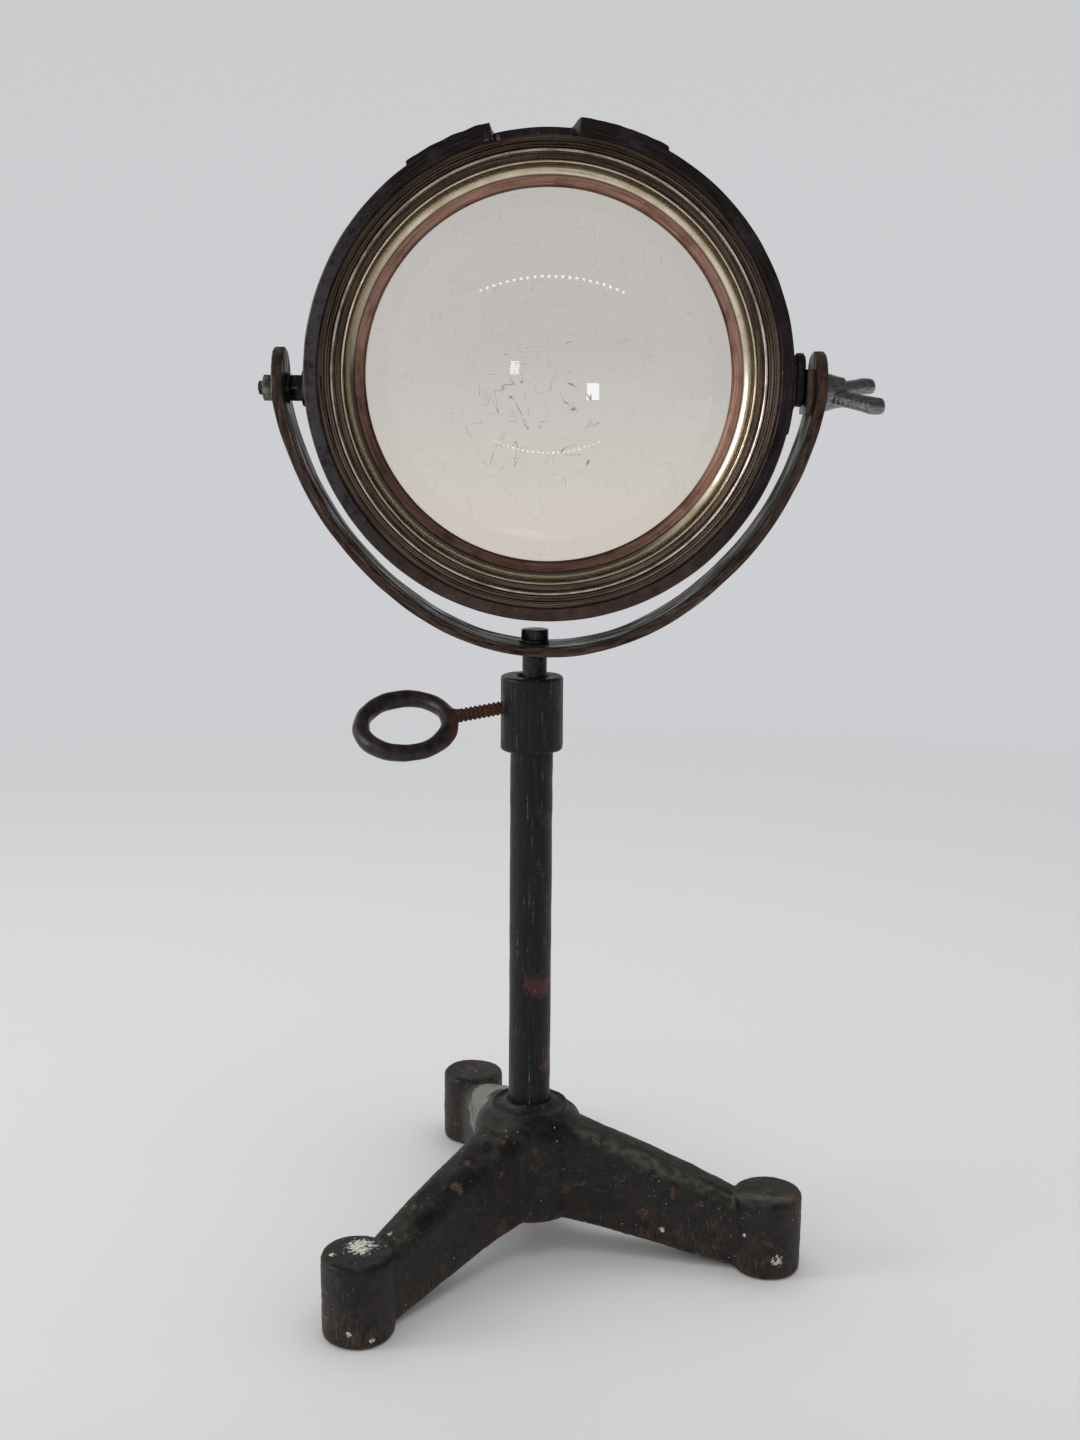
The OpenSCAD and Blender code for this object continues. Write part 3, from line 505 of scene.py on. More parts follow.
def strap_iron():
    """Bent strap with a brown-grey patina: streaks along it, painted shade on the near edge, coppery where
    rubbed.
    """
    material, add, place = new_material("strap_iron")
    around = add("Mapping", {"Vector": place, "Location": (-yoke_x, 0, -head_z)})
    x, y, z = add("SeparateXYZ", (around,)).outputs
    angle = add("Math", (z, x), operation="ARCTAN2")
    square = add("Math", (times(add, x, x), times(add, z, z)), operation="ADD")
    radius = add("Math", (square,), operation="SQRT")
    along = add("CombineXYZ", (times(add, angle, 14), y, radius))
    streaks = grain(add, along, 3.4, detail=7, roughness=0.68, seed=14)
    middle = grain(add, place, 3.5, detail=7, roughness=0.62, seed=15)
    fine = grain(add, place, 0.6, detail=4, seed=16)
    facing = add("NewGeometry").outputs["Normal"]
    toward = add("SeparateXYZ", (facing,)).outputs[1]
    # Painted shade: faces turned towards the viewer get a darker colour
    shaded_near_edge = add("MapRange", (toward, -0.6, -0.85))
    face = add("Mix", (add("MapRange", (streaks, 0.34, 0.68)), "#2b2422", "#8f8684"), data_type="RGBA")
    marks = grain(add, along, 1.2, detail=6, roughness=0.66, seed=50)
    shaded_edge_face = add("Mix", (add("MapRange", (marks, 0.36, 0.66)), "#2a201e", "#67544c"), data_type="RGBA")
    shaded_edge_face = add("Mix", (add("MapRange", (marks, 0.66, 0.7, 0, 0.6)), shaded_edge_face, "#a3948a"),
                    data_type="RGBA")
    colour = add("Mix", (shaded_near_edge, face, shaded_edge_face), data_type="RGBA")
    colour = add("Mix", (add("MapRange", (middle, 0.5, 0.7, 0, 0.4)), colour, "#38291f"), data_type="RGBA")
    # The right arm's top is rubbed to a coppery brown
    rubbing_and_highlight = times(add, add("MapRange", (x, 92, 104)), add("MapRange", (z, -22, 2)),
                   add("MapRange", (middle, 0.4, 0.6, 0.1, 0.5)))
    colour = add("Mix", (rubbing_and_highlight, colour, "#7c5c4b"), data_type="RGBA")
    edge = times(add, edge_wear_and_highlight(add), add("MapRange", (fine, 0.4, 0.6)), 0.7)
    colour = add("Mix", (edge, colour, "#94857a"), data_type="RGBA")
    height = add("Math", (times(add, streaks, 0.6), times(add, fine, 0.4)), operation="ADD")
    # Old dirt in the dark streaks keeps them from shining where the strap is seen along its face
    sheen = add("Mix", (add("MapRange", (streaks, 0.38, 0.64)), "#5a4f4c", "#ffffff"), data_type="RGBA")
    rough = add("MapRange", (streaks, 0.3, 0.7, 0.6, 0.34))
    finish(add, colour, rough, height, 0.5, {"Metallic": 0.85, "Specular Tint": sheen})
    return material


def brown_plate():
    """Small plate in brown patinated metal with vertical file marks."""
    material, add, place = new_material("brown_plate")
    marks = grain(add, place, 0.8, detail=5, stretch=(1, 1, 8), seed=17)
    colour = add("Mix", (add("MapRange", (marks, 0.35, 0.68)), "#261b17", "#5a443a"), data_type="RGBA")
    edge = edge_wear_and_highlight(add)
    colour = add("Mix", (times(add, edge, 0.6), colour, "#8d7355"), data_type="RGBA")
    finish(add, colour, add("MapRange", (marks, 0.3, 0.7, 0.5, 0.3)), marks, 0.3, {"Metallic": 0.8})
    return material


def bezel_brass():
    """Heavy turned ring with a near-black brown patina: turning marks, grey rubbed edges and bright nicks."""
    material, add, place = new_material("bezel_brass")
    angle, y, radius = round_lens_axis(add, place)
    around = add("CombineXYZ", (times(add, angle, 4), y, radius))
    turned_marks = grain(add, around, 0.5, detail=5, seed=18)
    filed = grain(add, place, 0.5, detail=4, stretch=(9, 1, 1), seed=19)
    middle = grain(add, place, 5, detail=7, roughness=0.62, seed=20)
    fine = grain(add, place, 0.8, detail=4, seed=21)
    z = add("SeparateXYZ", (place,)).outputs[2]
    colour = add("Mix", (add("MapRange", (turned_marks, 0.34, 0.68)), "#191314", "#3d3334"),
                 data_type="RGBA")
    x = add("SeparateXYZ", (place,)).outputs[0]
    # A painted highlight lightens the left side of the bezel to grey
    painted_left_highlight = times(add, add("MapRange", (x, -55, -88)), add("MapRange", (middle, 0.36, 0.6, 0.15, 0.95)))
    colour = add("Mix", (painted_left_highlight, colour, "#635e60"), data_type="RGBA")
    colour = add("Mix", (add("MapRange", (middle, 0.48, 0.66, 0, 0.6)), colour, "#2a1d19"),
                 data_type="RGBA")
    # Years of handling have thinned the patina along the bottom
    thinned = times(add, add("MapRange", (z, 330, 288)), add("MapRange", (middle, 0.38, 0.62, 0.35, 0.9)))
    colour = add("Mix", (thinned, colour, "#5c4a41"), data_type="RGBA")
    bloom = times(add, add("MapRange", (grain(add, place, 14, detail=5, seed=44), 0.5, 0.66)),
                  add("MapRange", (middle, 0.4, 0.6)))
    colour = add("Mix", (times(add, bloom, 0.4), colour, "#5d5b60"), data_type="RGBA")
    nicks = add("MapRange", (grain(add, place, 1.3, detail=6, roughness=0.7, seed=22), 0.67, 0.72))
    colour = add("Mix", (times(add, nicks, 0.5), colour, "#a39a8a"), data_type="RGBA")
    edge = times(add, edge_wear_and_highlight(add, 0.53, 0.6), add("MapRange", (fine, 0.44, 0.6)),
                 add("MapRange", (middle, 0.4, 0.6, 0.3, 1)))
    colour = add("Mix", (edge, colour, "#a59d97"), data_type="RGBA")
    height = add("Math", (times(add, turned_marks, 0.5), times(add, filed, 0.5)), operation="ADD")
    finish(add, colour, add("MapRange", (middle, 0.3, 0.7, 0.32, 0.5)), height, 0.22, {"Metallic": 0.9})
    return material


def cell_brass():
    """Turned brass cell: polished pale gold on the cove and bead, browner with age on the ringed land."""
    material, add, place = new_material("cell_brass")
    angle, y, radius = round_lens_axis(add, place)
    around = add("CombineXYZ", (times(add, angle, 3.5), y, radius))
    turning = grain(add, around, 1.1, detail=6, roughness=0.6, seed=23)
    cloud = grain(add, place, 11, detail=7, roughness=0.62, seed=24)
    fine = grain(add, place, 0.7, detail=4, seed=25)
    scratches = grain(add, place, 0.4, detail=3, stretch=(12, 1, 1), seed=26)
    polished = add("Mix", (add("MapRange", (cloud, 0.42, 0.68)), "#e7dac2", "#c6b598"), data_type="RGBA")
    aged = add("Mix", (add("MapRange", (turning, 0.32, 0.7)), "#352823", "#7f6d61"), data_type="RGBA")
    aged = add("Mix", (add("MapRange", (cloud, 0.5, 0.68, 0, 0.35)), aged, "#7d6642"), data_type="RGBA")
    # Painted shade darkens the cove round the lower left, all but a thin line near its outer edge
    turn = add("Math", (angle, math.radians(-130)), operation="SUBTRACT")
    shaded_lower_left = add("MapRange", (add("Math", (turn,), operation="COSINE"), -0.1, 0.5))
    dull = times(add, shaded_lower_left, add("MapRange", (radius, cove_r - 0.5, cove_r - 1.3)),
                 add("MapRange", (cloud, 0.3, 0.6, 1, 0.6)))
    polished = add("Mix", (times(add, dull, 0.9), polished, "#6a5e58"), data_type="RGBA")
    land = add("MapRange", (radius, bead_out_r - 0.2, bead_out_r + 0.1))
    colour = add("Mix", (land, polished, aged), data_type="RGBA")
    # Painted shade darkens the corners by the seat, the bead and the step; a painted highlight lies along the
    # land's inner edge
    for at, width in ((seat_out_r, 0.5), (bead_out_r + 0.2, 0.35), (step_r - 0.3, 0.4)):
        colour = add("Mix", (times(add, ring_line(add, radius, at, width), 0.75), colour, "#23170f"),
                     data_type="RGBA")
    # The painted highlight along the land's inner edge
    rubbing_and_highlight = times(add, ring_line(add, radius, step_r + 0.4, 0.55),
                   add("MapRange", (cloud, 0.36, 0.56, 0.3, 1)))
    colour = add("Mix", (rubbing_and_highlight, colour, "#dccfbd"), data_type="RGBA")
    spots = add("MapRange", (grain(add, place, 2.2, detail=7, roughness=0.7, seed=27), 0.64, 0.69))
    colour = add("Mix", (times(add, spots, 0.6), colour, "#4a3a2c"), data_type="RGBA")
    height = times(add, add("Math", (times(add, turning, 0.6), times(add, scratches, 0.4)),
                            operation="ADD"), add("MapRange", (land, 0, 1, 0.4, 1)))
    rough = add("Math", (add("MapRange", (land, 0, 1, 0.13, 0.27)),
                         add("MapRange", (fine, 0.4, 0.7, 0, 0.1))), operation="ADD")
    finish(add, colour, rough, height, 0.1, {"Metallic": 1.0})
    return material


def copper_ring():
    """Copper brown seat ring, satin, with a dark inner edge by the glass."""
    material, add, place = new_material("copper_ring")
    angle, y, radius = round_lens_axis(add, place)
    around = add("CombineXYZ", (times(add, angle, 2), y, radius))
    turning = grain(add, around, 0.45, detail=5, seed=28)
    cloud = grain(add, place, 9, detail=6, seed=45)
    colour = add("Mix", (add("MapRange", (turning, 0.35, 0.68)), "#805b4c", "#bd9482"), data_type="RGBA")
    colour = add("Mix", (add("MapRange", (cloud, 0.5, 0.68, 0, 0.6)), colour, "#563a2e"), data_type="RGBA")
    inner = add("MapRange", (radius, clear_r + 1.1, clear_r + 0.7))
    colour = add("Mix", (times(add, inner, 0.6), colour, "#3b241b"), data_type="RGBA")
    finish(add, colour, add("MapRange", (turning, 0.3, 0.7, 0.26, 0.42)), turning, 0.15, {"Metallic": 0.9})
    return material


def old_glass():
    """Clear crown glass, faintly warm, polished, with hairline scratches, worn patches and specks of dirt."""
    material, add, place = new_material("old_glass")
    pits = grain(add, place, 0.8, detail=7, roughness=0.78, seed=30)
    soft = grain(add, place, 6, detail=3, seed=46)
    dirt = times(add, add("MapRange", (pits, 0.70, 0.73)),
                 add("MapRange", (grain(add, place, 24, seed=31), 0.5, 0.62)))
    for centre, radius in (((-38.3, -6.3, 401), 4.5), ((-34.3, -7.2, 361), 4.5), ((-5.7, -10, 362), 2.6)):
        patch = spot(add, place, centre, radius, soft)
        dirt = add("Math", (dirt, times(add, patch, add("MapRange", (pits, 0.57, 0.62, 0, 0.8)))),
                   operation="MAXIMUM")
    # Hairlines are the thin contours of stretched noise, broken into short lengths
    middle_area = spot(add, place, (-3, -10, 364), 24, soft)
    for width, stretch, seed in ((4, (1, 1, 11), 47), (4, (10, 1, 1.2), 48), (4.5, (1, 1, 8), 49)):
        slant = math.radians((seed - 48) * 17)
        turned_place = add("Mapping", {"Vector": place, "Rotation": (0, slant, 0)})
        hair = grain(add, turned_place, width, detail=1, stretch=stretch, seed=seed)
        beside = add("Math", (hair, 0.5), operation="SUBTRACT")
        line = add("MapRange", (add("Math", (beside,), operation="ABSOLUTE"), 0.009, 0.004))
        broken = add("MapRange", (grain(add, place, 9, detail=2, seed=seed + 10), 0.53, 0.57))
        amount = add("Math", (times(add, middle_area, 0.75), 0.12), operation="ADD")
        dirt = add("Math", (dirt, times(add, line, broken, amount)), operation="MAXIMUM")
    colour = add("Mix", (dirt, "#f2ede4", "#4c463f"), data_type="RGBA")
    rough = add("MapRange", (dirt, 0, 1, 0.0, 0.4))
    finish(add, colour, rough, soft, 0.02, {"Transmission Weight": 1, "IOR": 1.52}, 0.05)
    return material


def black_rubber():
    """Hand-cut black rubber: matte, dusty, with grey scuffs."""
    material, add, place = new_material("black_rubber")
    middle = grain(add, place, 2.5, detail=6, seed=32)
    fine = grain(add, place, 0.5, detail=4, seed=33)
    colour = add("Mix", (add("MapRange", (middle, 0.5, 0.72)), "#0c0e10", "#2c3338"), data_type="RGBA")
    height = add("Math", (middle, fine), operation="ADD")
    finish(add, colour, add("MapRange", (middle, 0.3, 0.7, 0.7, 0.55)), height, 0.5)
    return material


def grey_casting():
    """Grey cast metal of the wing nut, with painted shade in its hollows and a painted highlight on its
    edges.
    """
    material, add, place = new_material("grey_casting")
    marks = grain(add, place, 0.9, detail=5, stretch=(8, 1, 1), seed=34)
    middle = grain(add, place, 3, detail=5, seed=35)
    colour = add("Mix", (add("MapRange", (marks, 0.35, 0.68)), "#6b6866", "#98949a"), data_type="RGBA")
    # Painted shade darkens the hollows
    dark = add("MapRange", (add("NewGeometry").outputs["Pointiness"], 0.5, 0.44))
    colour = add("Mix", (times(add, dark, 0.8), colour, "#26221f"), data_type="RGBA")
    # A painted highlight brightens the outward edges
    edge = times(add, edge_wear_and_highlight(add, 0.51, 0.57), add("MapRange", (middle, 0.35, 0.6, 0.2, 0.8)))
    colour = add("Mix", (edge, colour, "#d2cdc8"), data_type="RGBA")
    finish(add, colour, add("MapRange", (middle, 0.3, 0.7, 0.22, 0.42)), marks, 0.15, {"Metallic": 0.9})
    return material


def packing_leather():
    """Thin leather packing behind the glass, brown and fibrous."""
    material, add, place = new_material("packing_leather")
    fibre = grain(add, place, 0.8, detail=6, stretch=(3, 1, 1), seed=36)
    colour = add("Mix", (add("MapRange", (fibre, 0.35, 0.68)), "#4a3422", "#86684a"), data_type="RGBA")
    finish(add, colour, add("MapRange", (fibre, 0.3, 0.7, 0.75, 0.9)), fibre, 0.5)
    return material


def dull_brass():
    """Small brass screws, dull with age, brighter on their rubbed rims."""
    material, add, place = new_material("dull_brass")
    middle = grain(add, place, 1.5, detail=5, seed=37)
    colour = add("Mix", (add("MapRange", (middle, 0.35, 0.68)), "#4d3f2c", "#8a7855"), data_type="RGBA")
    colour = add("Mix", (edge_wear_and_highlight(add), colour, "#c2ad77"), data_type="RGBA")
    finish(add, colour, add("MapRange", (middle, 0.3, 0.7, 0.28, 0.45)), middle, 0.2, {"Metallic": 0.95})
    return material


# Lens head

clear_r = 75.0        # clear opening of the lens
seat_w = 4.2          # width of the copper seat ring
cove_w = 3.8
bead_w = 1.0
step_w = 2.8
land_w = 4.6
rim_w = 5.2           # width of the bezel's flat front face
land_depth = 1.2      # depths below the bezel's front face
groove_depth = 3.5
step_depth = 5.2
seat_depth = 12.5
cove_h = 6.9
seat_out_r = clear_r + seat_w
cove_r = seat_out_r + cove_w
bead_out_r = cove_r + bead_w
step_r = bead_out_r + step_w
land_r = step_r + land_w
bore_r = bezel_r - rim_w
land_ahead = rim_ahead - land_depth
step_ahead = rim_ahead - step_depth
seat_back_ahead = rim_ahead - seat_depth - 4
back_flange_w = 5.0

LENS_AXIS = Matrix.Translation((head_x, 0, head_z)) @ Matrix.Rotation(math.radians(90), 4, "X")


def bezel_pivot(side, centre=head_x):
    """Puts a piece's own Z along a pivot, outwards; -1 is left and 1 is right."""
    return Matrix.Translation((centre, 0, pivot_z)) @ Matrix.Rotation(math.radians(90 * side), 4, "Y")


def v_groove(radius, ahead, width, depth):
    """Three outline points that cut a fine V into a flat face."""
    return [(radius - width / 2, ahead), (radius, ahead - depth), (radius + width / 2, ahead)]


def make_lens():
    """The lens: two equal curved faces that meet a thin rim."""
    low, high = lens_low, lens_high
    rim_t = 4.0
    bulge = (high.y - low.y - rim_t) / 2
    middle = -(low.y + high.y) / 2
    face_r = (glass_r ** 2 + bulge ** 2) / (2 * bulge)
    rings = 40
    radii = [glass_r * math.sin(math.pi / 2 * i / rings) for i in range(rings + 1)]
    front = [(r, middle + rim_t / 2 + bulge - (face_r - math.sqrt(face_r ** 2 - r ** 2))) for r in radii]
    back = [(r, 2 * middle - a) for r, a in reversed(front)]
    lens = turned("lens_glass", front + back, LENS_AXIS, steps=192, sharp=30)
    fitted(lens, "lens_head", "lens_glass", old_glass(), "lens")


def make_cell():
    """The turned brass cell with its cove, bead, step, ringed land and groove."""
    lip_r = seat_out_r + 0.1
    lip_ahead = seat_back_ahead + 1.3
    back_r = glass_r + 0.3
    cove_low = step_ahead - cove_h
    cove_curve_r = (cove_w ** 2 + cove_h ** 2) / (2 * cove_w)
    outline = [(back_r, flange_ahead), (cell_out_r, flange_ahead), (cell_out_r, rim_ahead - groove_depth),
               (land_r, rim_ahead - groove_depth), (land_r, land_ahead - 0.3), (land_r - 0.3, land_ahead)]
    outline += reversed(v_groove(land_r - 1.0, land_ahead, 0.5, 0.4))
    outline += reversed(v_groove(land_r - 2.3, land_ahead, 0.35, 0.25))
    outline += reversed(v_groove(step_r + 1.3, land_ahead, 0.6, 0.5))
    outline += [(step_r + 0.3, land_ahead), (step_r, land_ahead - 0.3), (step_r, step_ahead)]
    bead_mid = cove_r + bead_w / 2
    for i in range(13):
        turn = math.pi * i / 12
        outline.append((bead_mid + bead_w / 2 * math.cos(turn), step_ahead + bead_w / 2 * math.sin(turn)))
    for i in range(1, 15):
        down = cove_h * i / 14
        inset = cove_curve_r - math.sqrt(cove_curve_r ** 2 - down ** 2)
        outline.append((cove_r - inset, step_ahead - down))
    outline += [(lip_r, cove_low), (lip_r, lip_ahead), (back_r, lip_ahead)]
    cell = turned("cell", outline, LENS_AXIS, steps=256, sharp=28)
    fitted(cell, "lens_head", "cell_brass", cell_brass(), "cove_ring")


def make_seat_ring():
    """The copper ring before the glass, with a sloped nose and a flange behind the cell's lip."""
    front = rim_ahead - seat_depth
    nose_r = clear_r + seat_w / 3
    flange_r = seat_out_r + 1.2
    outline = [(clear_r, seat_back_ahead), (clear_r, front - 2.6), (nose_r, front - 1.6),
               (seat_out_r, front), (seat_out_r, seat_back_ahead + 1.2), (flange_r, seat_back_ahead + 1.2),
               (flange_r, seat_back_ahead)]
    ring = turned("seat_ring_copper", softened(outline, 0.25), LENS_AXIS, steps=256, sharp=40)
    fitted(ring, "lens_head", "copper_ring", copper_ring(), "seat_ring")


def flat_ring(name, node, edge):
    """A flat ring behind the glass, which fills its CAD node's box."""
    low, high = box_mm(node)
    outer = (high.x - low.x) / 2
    inner = clear_r + 1
    outline = [(inner, -high.y), (outer, -high.y), (outer, -low.y), (inner, -low.y)]
    return turned(name, softened(outline, edge), LENS_AXIS, steps=160)


def make_packing():
    """The soft ring behind the glass."""
    ring = flat_ring("packing", "packing_ring", 0.5)
    roughened(ring, 3, 0.15, seed=3)
    fitted(kept_within(ring, "packing_ring"), "lens_head", "packing", packing_leather(), "packing_ring")


def make_retaining_ring():
    """The brass ring that closes the cell from behind."""
    ring = flat_ring("retaining_ring_brass", "retaining_ring", 0.35)
    fitted(ring, "lens_head", "cell_brass", dull_brass(), "retaining_ring")


hinge_middle = 93.6     # direction of the old hinge's gap, in degrees from the right
hinge_gap = 20.6        # angle of the gap
lug_span = 21.0         # angle of each filed lug beside it
lug_h = 1.6
lug_depth = 9.0
pad_low = 10.0          # angle from the right pivot down to the end of the boss's pad
pad_high = 6.0
pad_r = 100.3           # how far the pad reaches from the lens axis
boss_r = 7.5
pin_r = 1.2             # hole left by the old hinge's pin
pin_reach = 95.2        # from the lens axis to that hole


def bezel_section(degrees):
    """Outline of the bezel in one direction, always with the same number of points."""
    gap_low = hinge_middle - hinge_gap / 2
    gap_high = hinge_middle + hinge_gap / 2
    right_pivot = -math.degrees(math.asin((head_z - pivot_z) / bezel_r))
    in_gap = smooth_step(degrees, gap_low - 0.2, gap_low + 2.2)
    in_gap *= smooth_step(degrees, gap_high + 0.1, gap_high - 0.5)
    lug = 0
    for start, end in ((gap_low - lug_span, gap_low + 1.4), (gap_high - 0.2, gap_high + lug_span)):
        rise = smooth_step(degrees, start - 0.15, start + 0.15)
        fall = smooth_step(degrees, end + 0.15, end - 0.15)
        lug = max(lug, rise * fall)
    wobble = 0.35 * noise.noise(Vector((degrees * 0.35, 3.1, 0))) if lug else 0
    height = (lug_h - 0.2 + wobble) * lug * (1 - in_gap)
    low, high = rim_ahead - lug_depth, rim_ahead - 0.9
    front = rim_ahead - lug_depth * in_gap
    outer = bezel_r - 1.5 * in_gap
    if abs(degrees - right_pivot) < 14:
        start, end = right_pivot - pad_low, right_pivot + pad_high
        height = (pad_r - bezel_r) * smooth_step(degrees, start - 0.6, start + 0.3)
        height *= smooth_step(degrees, end + 0.5, end - 0.3)
        low, high = -9.0, 9.0
    low, high = min(low, front - 2.6), min(high, front - 0.9)
    edge = height if high > front - 1.5 else 0
    return edged([
        (bore_r - back_flange_w, back_ahead), (outer - 1, back_ahead), (outer, back_ahead + 1),
        (outer, low - 0.3), (outer + height, low), (outer + height, high - 0.3), (outer + edge, high),
        (outer + edge, front - 0.5), (outer + edge - 0.5, front), (bore_r + 0.35, front),
        (bore_r, front - 0.35), (bore_r, flange_ahead), (bore_r - back_flange_w, flange_ahead)])


def smooth_step(value, start, end):
    """0 at start and 1 at end, with an even curve between."""
    t = max(0.0, min(1.0, (value - start) / (end - start)))
    return t * t * (3 - 2 * t)


def make_bezel():
    """The outer ring: its section changes round the hinge gap, the filed lugs and the pivot pad."""
    steps = 1080
    points = []
    for step in range(steps):
        degrees = 360 * step / steps - 90
        section = bezel_section(degrees)
        turn = math.radians(degrees)
        for radius, ahead in section:
            points.append((head_x + radius * math.cos(turn), -ahead, head_z + radius * math.sin(turn)))
    bezel = new_piece("bezel", points, loft_faces(steps, len(section), looped=True), sharp=28)
    bosses = []
    boss_x = max(bezel_high.x - head_x, head_x - bezel_low.x)
    for side in (-1, 1):
        outline = [(0, bezel_r - 4), (boss_r, bezel_r - 4), (boss_r, boss_x), (0, boss_x)]
        bosses.append(turned("boss", softened(outline, 0.4, closed=False), bezel_pivot(side), steps=64))
    carved(bezel, bosses, "UNION", sharp=28)
    pin_turn = math.radians(hinge_middle + hinge_gap / 2 - 1.2)
    pin_middle = Vector((math.cos(pin_turn), math.sin(pin_turn), 0)) * pin_reach
    pin_place = LENS_AXIS @ Matrix.Translation(pin_middle)
    pin = turned("pin", [(0, -20), (pin_r, -20), (pin_r, 20), (0, 20)], pin_place, steps=32)
    carved(bezel, [pin], "DIFFERENCE", sharp=28)
    roughened(bezel, 9, 0.12, seed=4)
    fitted(kept_within(bezel, "bezel_ring"), "lens_head", "bezel_patina", bezel_brass(), "bezel_ring")


# Pivots

nut_flats = 10.4
stud_r = 3.0
stud_pitch = 1.0


def thread_tree():
    """Geometry Nodes: a rod's core with a ridge wound round it, from the named sizes."""
    tree = bpy.data.node_groups.new("thread", "GeometryNodeTree")
    add = adder(tree)
    face = tree.interface
    face.new_socket("Geometry", in_out="INPUT", socket_type="NodeSocketGeometry")
    for name in ("Core radius", "Ridge", "Pitch", "Length", "Start"):
        face.new_socket(name, in_out="INPUT", socket_type="NodeSocketFloat")
    face.new_socket("Material", in_out="INPUT", socket_type="NodeSocketMaterial")
    face.new_socket("Geometry", in_out="OUTPUT", socket_type="NodeSocketGeometry")
    given = add("NodeGroupInput").outputs
    turns = add("Math", (given["Length"], given["Pitch"]), operation="DIVIDE")
    wound = add("GeometryNodeCurveSpiral", {"Resolution": 40, "Rotations": turns,
                                            "Start Radius": given["Core radius"],
                                            "End Radius": given["Core radius"], "Height": given["Length"],
                                            "Reverse": False})
    ridge = add("GeometryNodeCurvePrimitiveCircle", {"Resolution": 8, "Radius": given["Ridge"]})
    swept = add("GeometryNodeCurveToMesh", {"Curve": wound, "Profile Curve": ridge, "Fill Caps": True})
    core = add("GeometryNodeMeshCylinder", {"Vertices": 48, "Radius": given["Core radius"],
                                            "Depth": given["Length"]})
    half = add("Math", (given["Length"], 0.5), operation="MULTIPLY")
    raised = add("GeometryNodeTransform", {"Geometry": core.outputs["Mesh"],
                                           "Translation": add("CombineXYZ", (0, 0, half))})
    both = add("GeometryNodeJoinGeometry", {"Geometry": swept})
    tree.links.new(raised.outputs[0], both.inputs[0])
    moved = add("GeometryNodeTransform", {"Geometry": both,
                                          "Translation": add("CombineXYZ", (0, 0, given["Start"]))})
    real = add("GeometryNodeRealizeInstances", {"Geometry": moved})
    done = add("GeometryNodeSetMaterial", {"Geometry": real, "Material": given["Material"]})
    add("NodeGroupOutput", {"Geometry": done})
    return tree


def grown(name, tree, sizes, place=Matrix()):
    """A plain mesh piece from a Geometry Nodes tree and its named inputs."""
    piece = new_piece(name, [(0, 0, 0)], [])
    modifier = piece.modifiers.new("grow", "NODES")
    modifier.node_group = tree
    for socket in tree.interface.items_tree:
        if socket.item_type == "SOCKET" and socket.name in sizes:
            modifier[socket.identifier] = sizes[socket.name]
    settled(piece)
    piece.data.transform(place)
    tidy_mesh(piece.data)
    return piece


def threaded_rod(name, radius, pitch, start, end, place, material):
    """A threaded rod between two places along its axis."""
    ridge = 0.3 * pitch
    in_metres = place.copy()
    in_metres.translation = place.translation * MM
    sizes = {"Core radius": (radius - ridge) * MM, "Ridge": ridge * MM, "Pitch": pitch * MM,
             "Length": (end - start - 2 * ridge) * MM, "Start": (start + ridge) * MM, "Material": material}
    return grown(name, THREAD, sizes, in_metres)


def hex_nut(name, flats, thickness, bore, start, place, turn=30):
    """A hexagon nut with turned chamfers on both ends."""
    corner_r = flats / 2 / math.cos(math.pi / 6)
    turns = [math.radians(60 * i + turn) for i in range(6)]
    corners = [(corner_r * math.cos(a), corner_r * math.sin(a)) for a in turns]
    points = [place @ Vector((x, y, start + z)) for z in (0, thickness) for x, y in corners]
    faces = [[0, 1, 2, 3, 4, 5], [6, 7, 8, 9, 10, 11]]
    faces += [[i, (i + 1) % 6, (i + 1) % 6 + 6, i + 6] for i in range(6)]
    nut = new_piece(name, points, faces)
    chamfer = 0.5 * (corner_r - flats / 2) + 0.25
    disc = [(0, start), (corner_r - 2 * chamfer, start), (corner_r + 0.02, start + chamfer * 1.1),
            (corner_r + 0.02, start + thickness - chamfer * 1.1), (corner_r - 2 * chamfer, start + thickness),
            (0, start + thickness)]
    carved(nut, [turned("disc", disc, place, steps=72)], "INTERSECT", sharp=20)
    hole = [(0, start - 1), (bore, start - 1), (bore, start + thickness + 1), (0, start + thickness + 1)]
    carved(nut, [turned("hole", hole, place, steps=48)], "DIFFERENCE", sharp=20)
    return eased(nut, 0.12, 2, 25)


def washer(name, node, axis, bore, edge=0.2):
    """A turned washer that fills its CAD node, along X or Z."""
    low, high = box_mm(node)
    middle = (low + high) / 2
    thickness = (high - low)[axis]
    outer = (high.y - low.y) / 2
    turn = Matrix.Rotation(math.radians(90), 4, "Y") if axis == 0 else Matrix()
    place = Matrix.Translation(middle) @ turn
    outline = [(bore, -thickness / 2), (outer, -thickness / 2), (outer, thickness / 2), (bore, thickness / 2)]
    return turned(name, softened(outline, edge), place, steps=72)


